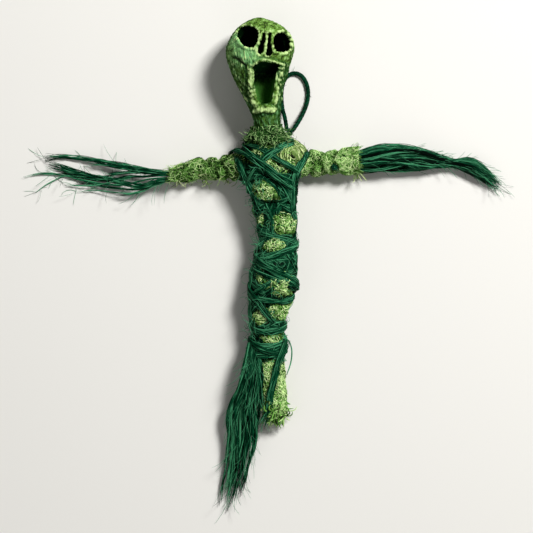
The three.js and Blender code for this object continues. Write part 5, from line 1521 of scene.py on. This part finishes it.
class DOLL_OT_twine(bpy.types.Operator):
    """Flat dyed twine wound over the chest, shoulders, body and waist"""
    bl_idname = "doll.twine"
    bl_label = "Twine"

    def execute(self, context):
        torso = torso_roll()
        for name, routes, seed, node in (
            ("left_chest_twine", LEFT_CHEST, 1000, "left_chest_band"),
            ("right_chest_twine", RIGHT_CHEST, 1100, "right_chest_band"),
            ("torso_twine", TORSO, 1200, "torso_binding"),
            ("waist_twine", WAIST, 1300, "waist_binding"),
        ):
            heap, loose = Heap(), Heap()
            windings(heap, torso, routes, seed)
            if node in LOOSE:
                low, high, count, hairs, fuzz = LOOSE[node]
                low, high = (float(torso.share_at(y * MM)) for y in (low, high))
                cover(heap, torso, low, high, seed + 300)
                loose_turns(loose, torso, low, high, count, seed + 200, 1.2 * MM)
                moss_fibres(loose, torso, low, high, hairs, seed + 400, reach=12 * MM,
                            width=1.5 * sizes().fuzz_fibre, loft=3.4 * MM, heading=0.4 * math.pi,
                            spread=0.6, curl=220, tone=1.0, steps=9)
                self.fuzz(loose, torso, low, high, fuzz, seed + 500)
                loose.piece(name + "_loose", fibre_finish("twine"), "figure", "twine")
            heap.piece(name, fibre_finish("twine"), "figure", "twine", (node,))
        for side, node, seed in ((-1, "left_shoulder_band", 1400), (1, "right_shoulder_band", 1500)):
            self.shoulder(node, side, seed)
        self.twine_end()
        return {"FINISHED"}

    def fuzz(self, heap, roll, low, high, count, seed):
        """Curled hairs that stand off the windings, most of them on the left side."""
        draw = np.random.default_rng(seed)
        angle = draw.normal(math.radians(178), 0.75, count)
        share, along = draw.uniform(low, high, count), draw.choice((-1, 1), (count, 1))
        starts, ways = roll.leaving(share, angle, lift=1.2 * MM, out=0.35, along=along)
        stray(heap, starts, ways, count, seed + 10, reach=11 * MM, width=1.35 * sizes().fuzz_fibre,
              curl=420, tone=1.0, steps=12, scatter=0.3)

    def shoulder(self, node, side, seed):
        """Turns of twine round the root of an arm, placed on the frame's own band."""
        s = sizes()
        low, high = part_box(node)
        middle = np.array(middle_of(node)) - np.array((side * 3.2 * MM, 0, 0))
        half_y, half_z = (high - low).y / 2 - 1.2 * MM, (high - low).z / 2 - 0.9 * MM
        heap = Heap()
        for k in range(2):
            turn = np.linspace(0, TURN * 1.1, 60)
            slant = (1.6 - 2.8 * k) * MM + 3.0 * MM * np.cos(turn)
            path = middle + np.stack([side * slant, half_y * np.cos(turn), half_z * np.sin(turn)], axis=1)
            out = np.stack([np.zeros(60), np.cos(turn), np.sin(turn)], axis=1)
            path = above_table(path, 1.1 * MM)
            strand(heap, path, out, width=3.6 * MM, thick=s.twine_thickness, fibres=s.strand_fibres,
                   seed=seed + k, tone=0.46 - 0.08 * k)
            ways = unit(unit(np.gradient(path, axis=0)) + 0.25 * out)
            stray(heap, path, ways, count=14, seed=seed + 50 + k, reach=8 * MM, width=s.fuzz_fibre,
                  curl=240, tone=0.75)
        for k, (route, width, tone) in enumerate(SHOULDER_STRANDS[node]):
            path = smooth(np.array(route) * MM, 1.6 * MM)
            strand(heap, path, unit(path - middle), width * MM, thick=1.5 * MM, fibres=s.strand_fibres,
                   seed=seed + 20 + k, tone=tone, wander=0.25)
        heap.piece(node.replace("band", "twine"), fibre_finish("twine"), "figure", "twine", (node,))

    def twine_end(self):
        """End of twine that comes out of the right arm, seen end on."""
        low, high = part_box("arm_twine_end")
        middle = np.array(((low.x + high.x) / 2, (low.y + high.y) / 2, high.z - 0.8 * MM))
        half = (high - low).x / 2 - 0.5 * MM
        turn = np.linspace(0, 1, 60)
        spiral = half * (0.15 + 0.8 * turn)
        path = middle + np.stack([spiral * np.cos(2 * TURN * turn), spiral * np.sin(2 * TURN * turn),
                                  -1.4 * MM * turn], axis=1)
        heap = Heap()
        strand(heap, path, UP, width=1.5 * MM, thick=1.6 * MM, fibres=9, seed=1601, tone=0.3)
        ways = unit(path - middle + 0.6 * MM * UP)
        stray(heap, path, ways, count=40, seed=1602, reach=3 * MM, width=sizes().fuzz_fibre, curl=240,
              tone=0.45)
        heap.piece("arm_twine_end_curl", fibre_finish("twine"), "figure", "twine", ("arm_twine_end",))


# Loose hands and leg fringe: tracks are millimetres from the joint, and widths and depths are pairs of the
# share along the track and millimetres to each side
RIGHT_HAND = [(-10, -1.2, 0), (-2, -0.4, 0), (12, 1, 0), (29, 1, -1), (41, -0.6, -2.4), (49, -2, -3),
              (61, -4.4, -3.4), (79.4, -17.4, -4.4)]
RIGHT_HAND_WIDTH = [(0, 5.4), (0.04, 6.3), (0.19, 8.1), (0.41, 6.6), (0.56, 3.4), (0.65, 2.0), (0.74, 4.4),
                    (0.84, 3.8), (1, 1.4)]
RIGHT_HAND_DEPTH = [(0, 4.6), (0.04, 5.4), (0.19, 6.6), (0.41, 5.4), (0.6, 2.4), (0.78, 2.8), (1, 1.8)]
# Each strand of the left hand: millimetres out from the joint and up from it, then width, tone and lift
LEFT_HAND = [
    ([(-6, 1.6), (2, 2.0), (10.3, 3.5), (21.2, 5.6), (32, 7.8), (42.8, 9.6), (53.6, 11), (61.7, 11.4),
      (72, 10.3)], 2.9, 0.32, 0.6),
    ([(-6, 1.0), (10.3, 2), (21.2, 4), (34, 6), (46, 8.4)], 2.0, 0.3, 0.9),
    ([(-6, -1.6), (4.9, -3.9), (13, -6.6), (21.2, -5.2), (32, -2.2), (41.4, -0.9), (49.5, 1.3), (59, 4),
      (69.4, 7.2)], 3.4, 0.34, 0.2),
    ([(-6, 0.2), (10.3, -0.4), (22.5, -0.9), (32, -2.8), (42.8, -2.2), (53.6, -0.4), (65.7, 1.3)],
     1.8, 0.3, 0.6),
    ([(-6, 0.6), (7.6, 1.5), (18.5, 1.8), (27.9, 1.3), (37.4, -0.4)], 2.0, 0.3, 0.4),
    ([(-6, -2.8), (4.9, -4.9), (15.7, -8.2), (26.6, -7.9), (37.4, -6.3), (45.5, -4.7), (54.9, -5.7)],
     1.6, 0.3, -0.4),
    ([(-6, -1.2), (9, -2.2), (18.5, -4.4), (27.9, -5.8), (40.1, -4.4), (50.9, -2.2), (60.3, 0.2),
      (69.8, 1.3), (77.9, 0.5), (84.4, -1.2)], 1.4, 0.7, 0.3),
    ([(-6, -2.4), (2.2, -4), (10.3, -7.5), (18.5, -10.6), (27.9, -10.3), (41.4, -8.9), (53.6, -10.2)],
     0.9, 0.85, -0.6),
    ([(-6, -2.6), (4.9, -5.9), (13, -9.8), (22.5, -11.7), (29.3, -12)], 0.9, 0.85, -0.6),
    ([(20, -2), (29.3, -2.8), (45.5, -1.2), (59, -0.1), (65.7, -2.8), (72.5, -6.8), (78.6, -11.6)],
     0.9, 0.85, 0.2),
    ([(8, -0.4), (21.2, -1.4), (34.7, -4.8), (45.5, -6.2), (59, -5.5)], 1.0, 0.75, 0.4),
]
# How far the left hand falls towards the table on the way to its ends, in millimetres
LEFT_HAND_DROP = 7.2
# Middles of loose strands keep this far above the table
STRAND_GAP = 0.9 * MM
# Distance between points on a loose strand
STRAND_STEP = 1.6 * MM
FRINGE = [(-4.6, 14, -3.2), (-5.4, 7, -1.6), (-6.4, -4, -1.6), (-7.7, -12, -4.1), (-11.2, -28, -9.4),
          (-11.6, -44, -12.6), (-14.4, -60, -14.6), (-18, -76, -16.4), (-22, -90, -17.8)]
FRINGE_WIDTH = [(0, 4.4), (0.08, 5.2), (0.17, 6.6), (0.25, 7.6), (0.41, 10.4), (0.56, 9.6), (0.71, 7.6),
                (0.87, 7.0), (1, 4.6)]
FRINGE_DEPTH = [(0, 1.6), (0.3, 2.0), (0.7, 2.4), (1, 1.4)]
# The ribbon's route round the leg as for the windings, where it ends past the foot, and the thin loop
# beside it
RIBBON = [(-43.5, 28, 2.2), (-49, 41, 2.4), (-55, 55, 1.8), (-66, 74), (-76, 104), (-85, 126)]
RIBBON_END = (-3.4, -97, 11.4)
RIBBON_LOOP = [(10, -42.4, 18), (13.2, -44.5, 15), (15, -50, 11.5), (14.6, -57, 11), (12, -65, 13.5)]


def bundle(heap, track, spread, depth, strands, seed, width, tone, short, hair, weave):
    """Loose strands side by side along a track that widens and narrows."""
    s = sizes()
    draw = np.random.default_rng(seed)
    spread, depth = through(spread), through(depth)
    line = smooth(track, STRAND_STEP)
    along, across, out = frames(line, UP)
    t = np.linspace(0, 1, len(line))
    for i in range(strands):
        r = math.sqrt((i + 0.5) / strands)
        turn = i * GOLDEN + weave * np.sin(draw.uniform(0, TURN) + TURN * draw.uniform(0.3, 0.9) * t)
        u = r * np.cos(turn) + 0.28 * weave * np.sin(draw.uniform(0, TURN) + TURN * 1.6 * t)
        v = r * np.sin(turn)
        path = line + across * (u * spread(t) * MM)[:, None] + out * (v * depth(t) * MM)[:, None]
        path = above_table(path, STRAND_GAP)
        keep = max(10, int(len(line) * draw.uniform(short, 1.0)))
        thick = width * draw.uniform(0.7, 1.2) * MM
        strand(heap, path[:keep], out[:keep], thick, 0.6 * thick, s.strand_fibres // 2, seed + i,
               tone + 0.26 * draw.normal(), wander=0.2, ragged=0.22)
        ways = unit(along + 0.2 * across * np.sign(u[:, None]) + 0.15 * out)
        stray(heap, path[2:keep], ways[2:keep], count=10, seed=seed + 100 + i, reach=hair,
              width=1.15 * s.fuzz_fibre, curl=60, tone=0.9, steps=8, scatter=0.22)


def swaying(heap, name, nodes):
    """A loose piece that stands for its nodes and rides on no body, with its place baked into its mesh."""
    made = heap.piece(name, fibre_finish("twine"), None, "twine", nodes)
    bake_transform(made)


class DOLL_OT_hands(bpy.types.Operator):
    """Loose twine at both wrists"""
    bl_idname = "doll.hands"
    bl_label = "Hands"

    def execute(self, context):
        s = sizes()
        wrist = np.array(hinge("right_hand_sway")["pos_m"])
        heap = Heap()
        bundle(heap, wrist + np.array(RIGHT_HAND) * MM, RIGHT_HAND_WIDTH, RIGHT_HAND_DEPTH, strands=36,
               seed=2040, width=2.6, tone=0.46, short=0.84, hair=10 * MM, weave=0.45)
        swaying(heap, "right_hand_twine",
                ("right_hand",))
        wrist = np.array(hinge("left_hand_sway")["pos_m"])
        heap = Heap()
        for k, (route, width, tone, lift) in enumerate(LEFT_HAND):
            flat = np.array(route)
            rise = lift - LEFT_HAND_DROP * step_up(flat[:, 0], 0, 60)
            path = smooth(wrist + np.column_stack([-flat[:, 0], flat[:, 1], rise]) * MM, STRAND_STEP)
            path = above_table(path, STRAND_GAP)
            fibres, ragged = max(3, int(7 * width)), 0.1 if width > 2 else 0.3
            strand(heap, path, UP, width * MM, 0.6 * width * MM, fibres, 2100 + k, tone, wander=0.3,
                   ragged=ragged)
            along = unit(np.gradient(path, axis=0))
            side = np.random.default_rng(2150 + k).choice((-1, 1), (len(path), 1))
            ways = unit(along + 0.35 * (np.cross(UP, along) * side))
            stray(heap, path, ways, count=12, seed=2170 + k, reach=13 * MM, width=1.2 * s.fuzz_fibre,
                  curl=90, tone=0.85, droop=0.8)
        swaying(heap, "left_hand_twine",
                ("left_hand",))
        return {"FINISHED"}


class DOLL_OT_fringe(bpy.types.Operator):
    """Hanging fringe of loose twine beside the leg, with its flat ribbon"""
    bl_idname = "doll.fringe"
    bl_label = "Leg fringe"

    def execute(self, context):
        s = sizes()
        root = np.array(hinge("leg_fringe_sway")["pos_m"])
        heap = Heap()
        bundle(heap, root + np.array(FRINGE) * MM, FRINGE_WIDTH, FRINGE_DEPTH, strands=34,
               seed=3000, width=1.9, tone=0.45, short=0.62, hair=13 * MM, weave=0.3)
        swaying(heap, "leg_fringe_twine",
                ("leg_fringe",))
        ribbon = Heap()
        laid, _ = on_roll(torso_roll(), RIBBON, 1.4 * MM)
        path = smooth([*laid[::4], np.array(RIBBON_END) * MM], STRAND_STEP)
        strand(ribbon, path, (0.2, 0, 1.0), width=4.8 * MM, thick=1.3 * MM, fibres=s.strand_fibres,
               seed=3100, tone=0.55, ragged=0.2)
        stray(ribbon, path, np.gradient(path, axis=0) / MM, count=26, seed=3101, reach=8 * MM,
              width=s.fuzz_fibre, curl=150, tone=0.8)
        loop = smooth(np.array(RIBBON_LOOP) * MM, 1.2 * MM)
        strand(ribbon, loop, (0.6, 0, 0.8), width=1.2 * MM, thick=0.9 * MM, fibres=4, seed=3102, tone=0.9)
        ribbon.piece("fringe_ribbon_twine", fibre_finish("twine"), "figure", "twine", ("fringe_ribbon",))
        return {"FINISHED"}


class DOLL_OT_sticks(bpy.types.Operator):
    """Bark and twine on the crossed sticks inside the moss"""
    bl_idname = "doll.sticks"
    bl_label = "Sticks"

    def execute(self, context):
        bark, twine = bark_finish(), fibre_finish("twine")
        for node, material in (("spine_stick", bark), ("cross_stick", bark), ("cross_lashing", twine)):
            mesh = frame["nodes"][node].data
            mesh.materials.clear()
            mesh.materials.append(material)
        return {"FINISHED"}


class DOLL_PT_panel(bpy.types.Panel):
    """Sizes, colours and makers of the doll"""
    bl_idname = "DOLL_PT_panel"
    bl_label = "Voodoo doll"
    bl_space_type = "VIEW_3D"
    bl_region_type = "UI"
    bl_category = "Doll"

    def draw(self, context):
        for operator in OPERATORS:
            self.layout.operator(operator.bl_idname)
        for group in (context.scene.doll_sizes, context.scene.doll_colours):
            for name in type(group).__annotations__:
                self.layout.prop(group, name)


OPERATORS = (DOLL_OT_stage, DOLL_OT_loop, DOLL_OT_sticks, DOLL_OT_moss, DOLL_OT_collar, DOLL_OT_head,
             DOLL_OT_twine, DOLL_OT_hands, DOLL_OT_fringe)
CLASSES = (DollSizes, DollColours) + OPERATORS + (DOLL_PT_panel,)


def register():
    for each in CLASSES:
        bpy.utils.register_class(each)
    bpy.types.Scene.doll_sizes = PointerProperty(type=DollSizes)
    bpy.types.Scene.doll_colours = PointerProperty(type=DollColours)


def unregister():
    del bpy.types.Scene.doll_colours
    del bpy.types.Scene.doll_sizes
    for each in reversed(CLASSES):
        bpy.utils.unregister_class(each)


def main():
    register()
    bpy.ops.doll.stage()
    bpy.ops.doll.loop()
    bpy.ops.doll.sticks()
    bpy.ops.doll.moss()
    bpy.ops.doll.collar()
    bpy.ops.doll.head()
    bpy.ops.doll.twine()
    bpy.ops.doll.hands()
    bpy.ops.doll.fringe()


if __name__ == "__main__":
    main()
